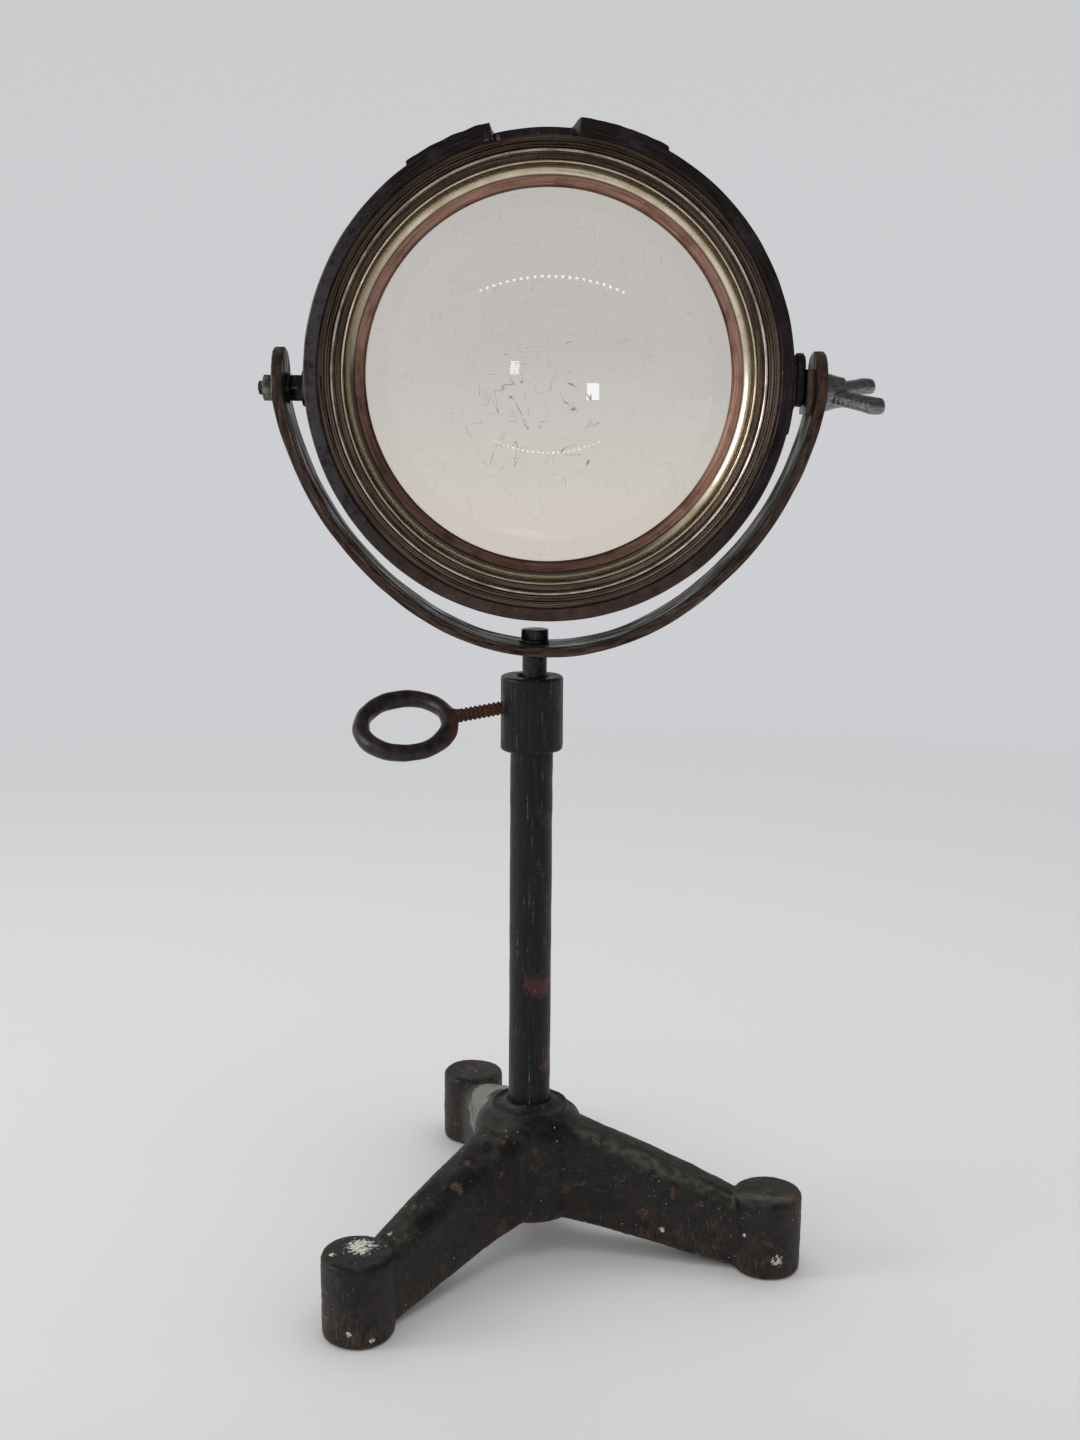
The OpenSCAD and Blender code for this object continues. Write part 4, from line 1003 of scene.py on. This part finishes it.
def make_pivots():
    """The studs, nuts and washers that the lens head hangs on."""
    steel = blackened_steel()
    for side, word in ((-1, "left"), (1, "right")):
        low, high = box_mm(word + "_stud")
        near, far = sorted((abs(low.x - head_x), abs(high.x - head_x)))
        stud = threaded_rod(word + "_pivot_stud", (high.y - low.y) / 2, stud_pitch, near, far,
                            bezel_pivot(side), steel)
        fitted(stud, "lens_head", "black_steel", steel, word + "_stud")
    lock_low, lock_high = box_mm("left_lock_nut")
    lock = hex_nut("left_inner_nut", nut_flats, lock_high.x - lock_low.x, stud_r, head_x - lock_high.x,
                   bezel_pivot(-1))
    fitted(lock, "lens_head", "black_steel", steel, "left_lock_nut")
    outer_low, outer_high = box_mm("left_outer_nut")
    outer = hex_nut("left_end_nut", nut_flats, outer_high.x - outer_low.x, stud_r, head_x - outer_high.x,
                    bezel_pivot(-1))
    dull = dull_steel()
    fitted(outer, "lens_head", "plain_steel", dull, "left_outer_nut")
    inner_washer = washer("left_dark_washer", "left_inner_washer", 0, stud_r + 0.05, 0.4)
    fitted(inner_washer, "lens_head", "black_steel", steel, "left_inner_washer")
    outer_washer = washer("left_light_washer", "left_outer_washer", 0, stud_r + 0.05)
    fitted(outer_washer, "lens_head", "plain_steel", dull, "left_outer_washer")


def make_rubber_pad():
    """A slab of rubber cut by hand: uneven outline, rounded and squashed a little thinner at the bottom."""
    low, high = box_mm("rubber_pad")
    half_w = (high.y - low.y) / 2
    top, bottom = high.z, low.z
    points = []
    across, around = 7, 72
    for i in range(across):
        side = i / (across - 1)
        inset = 0.9 * (2 * abs(side - 0.5)) ** 6
        x = low.x + (high.x - low.x) * side
        for j in range(around):
            turn = math.tau * j / around
            wander = noise.noise(Vector((2.2 * math.cos(turn), 2.2 * math.sin(turn), 4)))
            radius = half_w - inset - 0.35 + 0.35 * wander
            y = radius * math.cos(turn)
            middle = top - half_w if math.sin(turn) > 0 else bottom + half_w
            points.append((x, y, middle + radius * math.sin(turn)))
    pad = new_piece("rubber_cushion", points, loft_faces(across, around), sharp=50)
    fitted(kept_within(pad, "rubber_pad"), "lens_head", "black_rubber", black_rubber(), "rubber_pad")


def make_plate():
    """The square plate, its edges eased with a file, its back fitted to the arm."""
    plate = bpy.data.objects.new("square_plate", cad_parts["pivot_plate"].data.copy())
    bpy.context.scene.collection.objects.link(plate)
    tidy_mesh(plate.data)
    eased(plate, 0.35, 3, 40)
    fitted(plate, "fork", "plate_brown", brown_plate(), "pivot_plate")


def make_wing_nut():
    """The cast wing nut: a tapered hub and two thick wings, melted together."""
    low = box_mm("wing_nut")[0]
    place = bezel_pivot(1, 0) @ Matrix.Translation((0, 0, low.x))
    hub = turned("hub", softened([(0, 0), (8.2, 0), (6.4, 6), (5.9, 9), (0, 9)], 0.8, closed=False), place)
    parts = [hub]
    # Each wing is a row of knobs, which are balls squared off a little
    turns = [math.pi * k / 16 for k in range(17)]
    knob = [(abs(math.sin(a)) ** 0.55, -math.copysign(abs(math.cos(a)) ** 0.55, math.cos(a)))
            for a in turns]
    knob[0], knob[-1] = (0, -1), (0, 1)
    for side, turn in ((-1, 28), (1, 14)):
        tilt = place @ Matrix.Rotation(math.radians(turn), 4, "Z")
        for i in range(9):
            t = i / 8
            centre = Vector((0, side * (4 + 7.4 * t), 4.5 + (19.4 - 4.5) * t))
            thick = 3.2 - 0.2 * math.sin(math.pi * t)
            wide = 3.5 + 0.7 * t ** 2
            blade = Matrix.Diagonal((thick, wide, wide, 1))
            parts.append(turned("blade", knob, tilt @ Matrix.Translation(centre) @ blade, steps=24))
    nut = cast(joined("wing_nut_casting", parts), 0.35, 6)
    hole = turned("hole", [(0, low.x - 5), (3.15, low.x - 5), (3.15, low.x + 12), (0, low.x + 12)],
                  bezel_pivot(1, 0), steps=48)
    carved(nut, [hole], "DIFFERENCE", sharp=50)
    roughened(nut, 7, 0.2, seed=5)
    fitted(kept_within(nut, "wing_nut"), "wing", "wing_grey", grey_casting(), "wing_nut")


# Yoke

strap_t = 4.4
bottom_tuck = 4.3       # how much smaller the bottom bend's radius is than the bezel's
bottom_half_angle = 30
upright_angle = 10
upright_bend_r = 10


def yoke_path():
    """Middle line of the strap, from one arm's top to the other: points and their outward directions."""
    bottom_r = bezel_r - bottom_tuck
    start = 90 - bottom_half_angle
    bend_x = arm_out_x - upright_bend_r
    up, side = math.radians(upright_angle), math.radians(start)
    side_r = bend_x + upright_bend_r * math.cos(up) - bottom_r * math.cos(side)
    side_r /= math.cos(up) - math.cos(side)
    side_x = (bottom_r - side_r) * math.cos(side)
    side_z = bottom_r - (bottom_r - side_r) * math.sin(side)
    bend_z = side_z - (side_r - upright_bend_r) * math.sin(up)
    arcs = [((0, bottom_r), bottom_r, -90, -start, 24),
            ((side_x, side_z), side_r, -start, -upright_angle, 44),
            ((bend_x, bend_z), upright_bend_r, -upright_angle, 0, 5)]
    half = []
    for (x, z), radius, first, last, count in arcs:
        for i in range(count):
            turn = math.radians(first + (last - first) * i / count)
            out = Vector((math.cos(turn), 0, math.sin(turn)))
            half.append((Vector((x, 0, z)) + out * (radius - strap_t / 2), out))
    arm_x = arm_out_x - strap_t / 2
    top = yoke_high.z - yoke_low.z
    for i in range(33):
        t = i / 32
        height = bend_z + (top - bend_z) * (1 - (1 - t) ** 1.6)
        half.append((Vector((arm_x, 0, height)), Vector((1, 0, 0))))
    flip = Vector((-1, 1, 1))
    mirrored = [(p * flip, o * flip) for p, o in reversed(half[1:])]
    return mirrored + half


def make_yoke():
    """A flat strap bent to a U, with rounded edges and round arm ends, drilled for the stem and studs."""
    top = yoke_high.z - yoke_low.z
    corner = 0.8
    points = []
    path = yoke_path()
    for where, out in path:
        drop = top - where.z
        half_w = strap_half_w
        if drop < strap_half_w:
            half_w = max(0.3, math.sqrt(strap_half_w ** 2 - (strap_half_w - drop) ** 2))
        wave = 0.2 * noise.noise(Vector((where.x * 0.05, where.z * 0.05, 1)))
        ease = min(corner, half_w * 0.6)
        half_t = strap_t / 2 * (1 - 0.25 * max(0, 1 - drop / 2.5) ** 2)
        square = [(-half_w, -half_t), (half_w, -half_t), (half_w, half_t), (-half_w, half_t)]
        section = edged(softened(square, ease), 1.0)
        for across, through in section:
            points.append(Vector((yoke_x, across + wave, yoke_low.z)) + where + out * through)
    yoke = new_piece("strap_yoke", points, loft_faces(len(path), len(section)), sharp=40)
    hole_r = stud_r + 0.08
    inside = Matrix.Translation((0, 0, arm_out_x - 12))
    drill = [(0, 0), (hole_r, 0), (hole_r, 20), (0, 20)]
    tools = [turned("hole", drill, bezel_pivot(side, yoke_x) @ inside, steps=48) for side in (-1, 1)]
    stem_hole = Matrix.Translation((stem_x, 0, yoke_low.z - 2))
    drill = [(0, 0), (hole_r, 0), (hole_r, 12), (0, 12)]
    tools.append(turned("hole", drill, stem_hole, steps=48))
    washer_low, washer_high = box_mm("yoke_screw_washer")
    seat = Matrix.Translation((stem_x, 0, washer_low.z - 0.1))
    seat_r = (washer_high.x - washer_low.x) / 2 + 0.5
    tools.append(turned("seat", [(0, 0), (seat_r, 0), (seat_r, 6), (0, 6)], seat, steps=64))
    inner_low, inner_high = box_mm("left_inner_washer")
    face_x = yoke_x - inner_low.x + 0.25
    washer_seat_r = (inner_high.y - inner_low.y) / 2 + 0.3
    flat = [(0, face_x - 3), (washer_seat_r, face_x - 3), (washer_seat_r, face_x), (0, face_x)]
    tools.append(turned("seat", flat, bezel_pivot(-1, yoke_x), steps=64))
    carved(yoke, tools, "DIFFERENCE", sharp=40)
    roughened(yoke, 14, 0.3, seed=6)
    fitted(kept_within(yoke, "yoke"), "fork", "yoke_iron", strap_iron(), "yoke")


def make_stem():
    """The stem, and the slotted screw and washer that hold the yoke on it."""
    steel = blackened_steel()
    outline = [(0, stem_low.z), (stem_r, stem_low.z), (stem_r, stem_high.z), (0, stem_high.z)]
    stem = turned("stem_bar", softened(outline, 0.8, closed=False), Matrix.Translation((stem_x, 0, 0)))
    fitted(stem, "stem", "black_steel", steel, "stem_rod")
    low, high = box_mm("yoke_screw")
    head_r = (high.x - low.x) / 2
    head_h = 4.5
    place = Matrix.Translation((stem_x, 0, 0))
    head = [(0, low.z), (stud_r, low.z), (stud_r, high.z - head_h), (head_r, high.z - head_h),
            (head_r, high.z), (0, high.z)]
    screw = turned("cheese_head_screw", softened(head, 0.5, closed=False), place)
    slot = new_piece("slot", *block(stem_x - 9, stem_x + 9, -0.7, 0.7, high.z - 2, high.z + 1))
    slot.data.transform(Matrix.Translation((stem_x * MM, 0, 0)) @ Matrix.Rotation(math.radians(35), 4, "Z")
                        @ Matrix.Translation((-stem_x * MM, 0, 0)))
    carved(screw, [slot], "DIFFERENCE")
    fitted(screw, "stem", "black_steel", steel, "yoke_screw")
    ring = washer("screw_washer", "yoke_screw_washer", 2, stud_r + 0.05, 0.3)
    fitted(ring, "stem", "black_steel", steel, "yoke_screw_washer")


def block(x0, x1, y0, y1, z0, z1):
    """Points and faces of a rectangular cutting tool."""
    points = [(x, y, z) for x in (x0, x1) for y in (y0, y1) for z in (z0, z1)]
    faces = [[0, 1, 3, 2], [4, 6, 7, 5], [0, 4, 5, 1], [2, 3, 7, 6], [0, 2, 6, 4], [1, 5, 7, 3]]
    return points, faces


# Small screws of the cell, set round the ring

def ring_of_tree():
    """Geometry Nodes: one screw repeated round the lens axis, each with its own X outwards."""
    tree = bpy.data.node_groups.new("ring_of", "GeometryNodeTree")
    add = adder(tree)
    face = tree.interface
    face.new_socket("Geometry", in_out="INPUT", socket_type="NodeSocketGeometry")
    face.new_socket("Screw", in_out="INPUT", socket_type="NodeSocketObject")
    face.new_socket("Count", in_out="INPUT", socket_type="NodeSocketInt")
    face.new_socket("Radius", in_out="INPUT", socket_type="NodeSocketFloat")
    face.new_socket("First angle", in_out="INPUT", socket_type="NodeSocketFloat")
    face.new_socket("Material", in_out="INPUT", socket_type="NodeSocketMaterial")
    face.new_socket("Geometry", in_out="OUTPUT", socket_type="NodeSocketGeometry")
    given = add("NodeGroupInput").outputs
    line = add("GeometryNodeMeshLine", {"Count": given["Count"]}, mode="OFFSET")
    screw = add("GeometryNodeObjectInfo", {"Object": given["Screw"]})
    share = add("Math", (add("GeometryNodeInputIndex"), given["Count"]), operation="DIVIDE")
    turn = add("Math", (share, math.tau, given["First angle"]), operation="MULTIPLY_ADD")
    reach = add("CombineXYZ", (given["Radius"],))
    spin = add("CombineXYZ", (0, 0, turn))
    where = add("VectorRotate", {"Vector": reach, "Angle": turn}, rotation_type="Z_AXIS")
    placed = add("GeometryNodeSetPosition", {"Geometry": line, "Position": where})
    set_out = add("GeometryNodeInstanceOnPoints", {"Points": placed, "Instance": screw.outputs["Geometry"],
                                                   "Rotation": spin})
    real = add("GeometryNodeRealizeInstances", {"Geometry": set_out})
    done = add("GeometryNodeSetMaterial", {"Geometry": real, "Material": given["Material"]})
    add("NodeGroupOutput", {"Geometry": done})
    return tree


def slotted(screw, z_low, z_high, width):
    """Cuts a screwdriver slot across a screw that stands on its own Z axis."""
    return carved(screw, [new_piece("slot", *block(-6, 6, -width / 2, width / 2, z_low, z_high))])


def make_small_screws():
    """The retaining ring's four screws and the cell's three grub screws."""
    brass = dull_brass()
    tree = ring_of_tree()
    axis = LENS_AXIS.copy()
    axis.translation = LENS_AXIS.translation * MM
    low, high = box_mm("retaining_screws")
    head_ahead, tip_ahead, seat_ahead = -high.y, -low.y, -box_mm("retaining_ring")[1].y
    pitch_r = (glass_r + 0.3 + bore_r - back_flange_w) / 2
    head_r, screw_r = 2.7, 1.5
    outline = [(0, head_ahead), (head_r, head_ahead), (head_r, seat_ahead), (screw_r, seat_ahead),
               (screw_r, tip_ahead), (0, tip_ahead)]
    screw = turned("screw", softened(outline, 0.3, closed=False), steps=32)
    slotted(screw, head_ahead - 1, head_ahead + 0.7, 0.6)
    sizes = {"Screw": screw, "Count": 4, "Radius": pitch_r * MM, "First angle": math.radians(45),
             "Material": brass}
    ring = grown("retaining_screw_set", tree, sizes, axis)
    bpy.data.objects.remove(screw)
    fitted(kept_within(ring, "retaining_screws"), "lens_head", "small_brass", brass, "retaining_screws")
    length = rim_w + 2.2
    outline = softened([(0, 0), (screw_r, 0), (screw_r, length), (0, length)], 0.2, closed=False)
    grub = slotted(turned("grub", outline, steps=32), length - 0.8, length + 1, 0.6)
    grub.data.transform(Matrix.Rotation(math.radians(90), 4, "Y"))
    sizes = {"Screw": grub, "Count": 3, "Radius": (bore_r - 2.6) * MM, "First angle": math.radians(40),
             "Material": brass}
    ring = grown("grub_screw_set", tree, sizes, axis)
    bpy.data.objects.remove(grub)
    fitted(kept_within(ring, "cell_grub_screws"), "lens_head", "small_brass", brass, "cell_grub_screws")


# Stand

socket_r = 6.5          # bore of the column and collar
spigot_r = 8.0          # the column's thinner lower end
column_seat_z = 40.0    # where the column's shoulder stands in the hub
nut_room_r = 14.0       # room for the nut under the hub
base_nut_flats = 22


def make_collar():
    """The thick collar: rounded edges, a worn surface and the clamp screw's hole."""
    lap_z = column_high.z
    low, high = collar_low.z, collar_high.z
    outline = [(column_r, low), (collar_r, low), (collar_r, high), (socket_r, high), (socket_r, lap_z),
               (column_r, lap_z)]
    collar = turned("socket_sleeve", edged(softened(outline, 1.6, parts=5), 1.5), steps=128)
    hole_r = clamp_r + 0.1
    clamp = turned("hole", [(0, 0), (hole_r, 0), (hole_r, 40), (0, 40)], CLAMP_AXIS, steps=48)
    carved(collar, [clamp], "DIFFERENCE")
    roughened(collar, 8, 0.35, seed=7)
    roughened(collar, 2.5, 0.12, seed=8)
    fitted(kept_within(collar, "socket_collar"), "stand", "dark_iron", blackened_iron(), "socket_collar")


def make_column():
    """The column, slightly uneven, with its shoulder and spigot at the lower end."""
    low, high = column_low.z, column_high.z
    start = column_seat_z + 4
    heights = [start + (high - start) * i / 90 for i in range(91)]
    outline = [(socket_r, low), (spigot_r, low), (spigot_r, column_seat_z), (column_r, column_seat_z)]
    outline += [(column_r, z) for z in heights] + [(socket_r, high)]
    column = turned("column_pipe", outline, steps=96)
    roughened(column, 10, 0.25, seed=9, only=lambda p: 1 if p.z > 60 else 0)
    fitted(kept_within(column, "column_tube"), "stand", "dark_iron", blackened_iron(), "column_tube")


clamp_z = 243.3
clamp_turn = 195.0
clamp_droop = 8.0
eye_reach = 55.2
eye_d = 44.8
eye_bar_d = 7.7
eye_roll = 64.0
clamp_r = 3.0
clamp_pitch = 2.0
CLAMP_AXIS = (Matrix.Translation((0, 0, clamp_z)) @ Matrix.Rotation(math.radians(clamp_turn), 4, "Z")
              @ Matrix.Rotation(math.radians(90 + clamp_droop), 4, "Y"))


def make_clamp_screw():
    """The eye screw: a worn thread, a short neck and a forged eye."""
    iron = forged_iron()
    tip, root = 7.0, eye_reach - eye_d / 2
    thread = threaded_rod("thread", clamp_r, clamp_pitch, tip, root + 0.8, CLAMP_AXIS, iron)
    around, across = 96, 24
    mid_r = (eye_d - eye_bar_d) / 2
    eye_place = (CLAMP_AXIS @ Matrix.Translation((0, 0, eye_reach))
                 @ Matrix.Rotation(math.radians(eye_roll), 4, "Z")
                 @ Matrix.Rotation(math.radians(90), 4, "X"))
    points = []
    for i in range(around):
        turn = math.tau * i / around
        bar_r = eye_bar_d / 2 * (0.96 - 0.04 * math.cos(3 * turn))
        for j in range(across):
            bend = math.tau * j / across
            radius = mid_r + bar_r * math.cos(bend)
            on_ring = Vector((radius * math.cos(turn), radius * math.sin(turn), bar_r * math.sin(bend)))
            points.append(eye_place @ on_ring)
    eye = new_piece("eye", points, loft_faces(around, across, looped=True))
    flare = [(0, root - 2), (2.7, root - 2), (2.9, root), (4.2, root + 3), (0, root + 6)]
    neck = turned("neck", flare, CLAMP_AXIS, steps=32)
    forged = cast(joined("forged_eye", [eye, neck]), 0.4, 10)
    roughened(forged, 6, 0.3, seed=10)
    screw = joined("eye_screw", [forged, thread])
    screw.data.shade_smooth()
    screw.data.set_sharp_from_angle(angle=math.radians(50))
    fitted(kept_within(screw, "clamp_screw"), "clamp", "rusty_iron", iron, "clamp_screw")


foot_reach = 107.0
foot_r = 14.75
foot_h = 34.6
leg_turns = (-15, 105.5, 230.5)
hub_r = 24.5
hub_h = 65.0
hub_under_z = 15.5


def leg_loft(turn):
    """One leg as a loft of upright sections with round tops, from inside the hub to inside the foot."""
    points = []
    place = Matrix.Rotation(math.radians(turn), 4, "Z")
    first, last, count = 10.0, foot_reach - foot_r + 4, 36
    for i in range(count):
        t = i / (count - 1)
        s = first + (last - first) * t
        share = (s - 20.5) / (94.25 - 20.5)
        half_w = 11.5 - 2.5 * share + 1.6 * math.exp(-((s - 20) / 9) ** 2)
        top = 57 - 25 * share + 1.5 * math.sin(math.pi * max(0, min(1, share)))
        low = max(0.6, 14.5 - 13.9 * share)
        section = [(-half_w, low + 2.5), (-half_w + 2.5, low), (half_w - 2.5, low), (half_w, low + 2.5)]
        for j in range(33):
            bend = math.pi * j / 32
            out, rise = math.cos(bend), math.sin(bend)
            section.append((half_w * math.copysign(abs(out) ** 0.62, out), top - 9 + 9 * rise ** 0.8))
        points += [place @ Vector((s, across, z)) for across, z in section]
    return new_piece("leg", points, loft_faces(count, len(section)))


def make_base():
    """The iron casting: domed hub, three legs and three feet melted into one skin, hollow under the hub."""
    dome = [(0, hub_under_z), (hub_r - 2, hub_under_z), (hub_r, hub_under_z + 4), (hub_r, hub_h - 15),
            (hub_r - 1.2, hub_h - 11), (hub_r - 3.4, hub_h - 8), (hub_r - 6, hub_h - 6), (0, hub_h - 5)]
    parts = [turned("hub", softened(dome, 0.6, closed=False), steps=96)]
    for turn in leg_turns:
        parts.append(leg_loft(turn))
        foot = softened([(0, 0), (foot_r, 0), (foot_r, foot_h), (0, foot_h)], 2.0, closed=False, parts=6)
        place = Matrix.Rotation(math.radians(turn), 4, "Z") @ Matrix.Translation((foot_reach, 0, 0))
        parts.append(turned("foot", foot, place, steps=72))
    base = cast(joined("iron_casting", parts), 0.9, 4)
    room_top = box_mm("base_washer")[1].z
    holes = (("seat", column_r + 0.05, column_seat_z, 90), ("bore", spigot_r + 0.05, 5, 90),
             ("room", nut_room_r, 5, room_top))
    tools = [turned(name, [(0, low), (radius, low), (radius, high), (0, high)])
             for name, radius, low, high in holes]
    carved(base, tools, "DIFFERENCE", sharp=50)
    roughened(base, 11, 0.3, seed=11)
    roughened(base, 2.4, 0.14, seed=12)
    # The dome's turned mouldings: a fillet round the column, a sunk flat, a raised ring and the shoulder
    mouldings = [(column_r + 0.05, 48), (column_r + 0.05, hub_h), (column_r + 1.4, hub_h),
                 (column_r + 2.2, hub_h - 0.9), (column_r + 2.9, hub_h - 2.1), (hub_r - 9.3, hub_h - 2.6),
                 (hub_r - 8.8, hub_h - 1.9), (hub_r - 7.8, hub_h - 2.0), (hub_r - 7.3, hub_h - 2.9),
                 (hub_r - 6.9, hub_h - 4.3), (hub_r - 4.6, hub_h - 5.6), (hub_r - 2.2, hub_h - 7.8),
                 (hub_r - 0.7, hub_h - 11), (hub_r, hub_h - 15), (hub_r - 3, 48)]
    cap = turned("mouldings", softened(mouldings, 0.5), steps=128)
    roughened(cap, 8, 0.25, seed=13)
    roughened(cap, 2.4, 0.14, seed=12)
    base = joined("iron_tripod", [base, cap])
    base.data.shade_smooth()
    base.data.set_sharp_from_angle(angle=math.radians(50))
    fitted(kept_within(base, "tripod_base"), "stand", "base_enamel", chipped_enamel(), "tripod_base")


def make_base_fixings():
    """The nut and washer that hold the column under the hub."""
    dull = dull_steel()
    low, high = box_mm("base_nut")
    nut = hex_nut("big_base_nut", base_nut_flats, high.z - low.z, spigot_r, low.z, Matrix())
    fitted(nut, "stand", "plain_steel", dull, "base_nut")
    ring = washer("big_base_washer", "base_washer", 2, spigot_r + 0.05, 0.3)
    fitted(ring, "stand", "plain_steel", dull, "base_washer")


# Floor, light and camera

HORIZON = "#cdced1"
ZENITH = "#c8cbcc"
floor_r = 8    # metres


def make_floor():
    """A pale sheet whose colour runs into the background's with distance, so no edge shows."""
    material = bpy.data.materials.new("pale_floor")
    material.use_nodes = True
    material.node_tree.nodes.clear()
    add = adder(material.node_tree)
    place = add("TexCoord").outputs["Object"]
    distance = add("VectorMath", (place,), operation="LENGTH")
    far = add("MapRange", (distance.outputs["Value"], 0.45, 1.5), interpolation_type="SMOOTHSTEP")
    y = add("SeparateXYZ", (place,)).outputs[1]
    # Painted shade: the sheet is darker towards the viewer
    paper_and_painted_shade = add("Mix", (add("MapRange", (y, -0.12, -0.44)), "#e0e0e0", "#c9c9c8"), data_type="RGBA")
    sheet = add("BsdfDiffuse", {"Color": paper_and_painted_shade})
    glow = add("Emission", {"Color": HORIZON, "Strength": 1.0})
    blend = add("MixShader", (far, sheet, glow))
    add("OutputMaterial", {"Surface": blend})
    mesh = bpy.data.meshes.new("floor")
    turns = [math.tau * i / 96 for i in range(96)]
    rim = [(floor_r * math.cos(a), floor_r * math.sin(a), 0) for a in turns]
    mesh.from_pydata(rim, [], [list(range(96))])
    mesh.materials.append(material)
    floor = bpy.data.objects.new("floor", mesh)
    bpy.context.scene.collection.objects.link(floor)


def make_world():
    """A pale room. The camera and the glass see its plain colour and matte surfaces its even light.

    Polished metal also meets a dark front, right side and ceiling."""
    world = bpy.data.worlds.new("pale_room")
    bpy.context.scene.world = world
    world.use_nodes = True
    world.node_tree.nodes.clear()
    add = adder(world.node_tree)
    direction = add("TexCoord").outputs["Generated"]
    x, y, z = add("SeparateXYZ", (direction,)).outputs
    seen = add("Mix", (add("MapRange", (z, 0.0, 0.5)), HORIZON, ZENITH), data_type="RGBA")
    through = add("Mix", (add("MapRange", (z, 0.02, 0.16)), HORIZON, "#dddad9"), data_type="RGBA")
    front = times(add, add("MapRange", (y, -0.25, -0.75)), add("MapRange", (x, -0.55, -0.2)),
                  add("MapRange", (z, 0.0, 0.12)))
    right = times(add, add("MapRange", (x, 0.3, 0.6)), add("MapRange", (y, 0.75, 0.5)))
    ceiling = times(add, add("MapRange", (z, 0.35, 0.65)), add("MapRange", (x, -0.75, -0.45)))
    dark = add("Math", (front, add("Math", (right, ceiling), operation="MAXIMUM")), operation="MAXIMUM")
    mirrored = add("Mix", (times(add, dark, 0.86), "#dfe0e1", "#141312"), data_type="RGBA")
    rays = add("LightPath").outputs
    colour = add("Mix", (rays["Is Glossy Ray"], "#cfcfcf", mirrored), data_type="RGBA")
    colour = add("Mix", (rays["Is Transmission Ray"], colour, through), data_type="RGBA")
    colour = add("Mix", (rays["Is Camera Ray"], colour, seen), data_type="RGBA")
    sky = add("Background", {"Color": colour, "Strength": 1})
    add("OutputWorld", {"Surface": sky})


def add_lamp(name, place, target, size, power, colour="#ffffff"):
    """A soft rectangular lamp that looks at a target, in metres."""
    lamp = bpy.data.lights.new(name, "AREA")
    lamp.shape = "RECTANGLE"
    lamp.size, lamp.size_y = size
    lamp.energy = power
    lamp.color = linear(colour)[:3]
    holder = bpy.data.objects.new(name, lamp)
    bpy.context.scene.collection.objects.link(holder)
    holder.location = place
    holder.rotation_euler = (Vector(target) - Vector(place)).to_track_quat("-Z", "Y").to_euler()
    holder.visible_camera = False
    return holder


def arc_of_beads(lamp, count, sag):
    """Leaves a lamp bright only along an arc of small beads."""
    lamp.use_nodes = True
    lamp.node_tree.nodes.clear()
    add = adder(lamp.node_tree)
    across = add("NewGeometry").outputs["Parametric"]
    u, v = add("SeparateXYZ", (across,)).outputs[:2]
    repeated = add("Math", (times(add, u, count),), operation="FRACT")
    along = add("Math", (repeated, 0.5), operation="SUBTRACT")
    bead = add("MapRange", (add("Math", (along,), operation="ABSOLUTE"), 0.24, 0.16))
    middle = add("Math", (u, 0.5), operation="SUBTRACT")
    arc = times(add, middle, middle, 4 * sag)
    height = add("Math", (add("Math", (v, arc), operation="ADD"), 0.85), operation="SUBTRACT")
    off = add("Math", (height,), operation="ABSOLUTE")
    line = add("MapRange", (off, 0.06, 0.04))
    glow = add("Emission", {"Strength": times(add, bead, line)})
    add("OutputLight", {"Surface": glow})


def make_lights():
    """Soft light from above and the left, and two small lamps that glass and brass reflect."""
    overhead = add_lamp("overhead", (0.1, 0.1, 1.5), (0, 0, 0.2), (1.3, 1.1), 6)
    overhead.visible_glossy = False
    add_lamp("left_side", (-1.7, -0.3, 0.9), (0, 0, 0.35), (0.6, 0.9), 9)
    beads = add_lamp("row_of_spots", (0.03, -1.2, 0.83), (0.03, 0, 0.378), (0.72, 0.12), 2.4)
    arc_of_beads(beads.data, 22, 0.55)
    add_lamp("small_window", (0.27, -1.5, 0.335), (0.01, 0, 0.378), (0.07, 0.095), 0.2, "#eef4ff")


def make_camera():
    """The photograph's view: place in metres and angles in degrees, for a 1080 by 1440 picture."""
    focal_px, height_px, sensor_mm = 1634.6, 1440, 36
    place = Vector((0, -0.6852, 0.3634))
    yaw, pitch, roll = (math.radians(a) for a in (0.29, 10.56, 0.46))
    ahead = Vector((math.sin(yaw) * math.cos(pitch), math.cos(yaw) * math.cos(pitch), -math.sin(pitch)))
    level = Vector((math.cos(yaw), -math.sin(yaw), 0))
    above = level.cross(ahead)
    right = level * math.cos(roll) + above * math.sin(roll)
    up = above * math.cos(roll) - level * math.sin(roll)
    camera = bpy.data.cameras.new("camera")
    camera.sensor_width = sensor_mm
    camera.lens = sensor_mm * focal_px / height_px
    camera.clip_start = 0.01
    holder = bpy.data.objects.new("camera", camera)
    bpy.context.scene.collection.objects.link(holder)
    turn = Matrix((right, up, -ahead)).transposed().to_4x4()
    holder.matrix_world = Matrix.Translation(place) @ turn
    bpy.context.scene.camera = holder


THREAD = thread_tree()
make_lens()
make_cell()
make_seat_ring()
make_packing()
make_retaining_ring()
make_bezel()
make_pivots()
make_rubber_pad()
make_plate()
make_wing_nut()
make_yoke()
make_stem()
make_small_screws()
make_collar()
make_column()
make_clamp_screw()
make_base()
make_base_fixings()
make_floor()
make_world()
make_lights()
make_camera()
bpy.context.scene.view_settings.view_transform = "Standard"
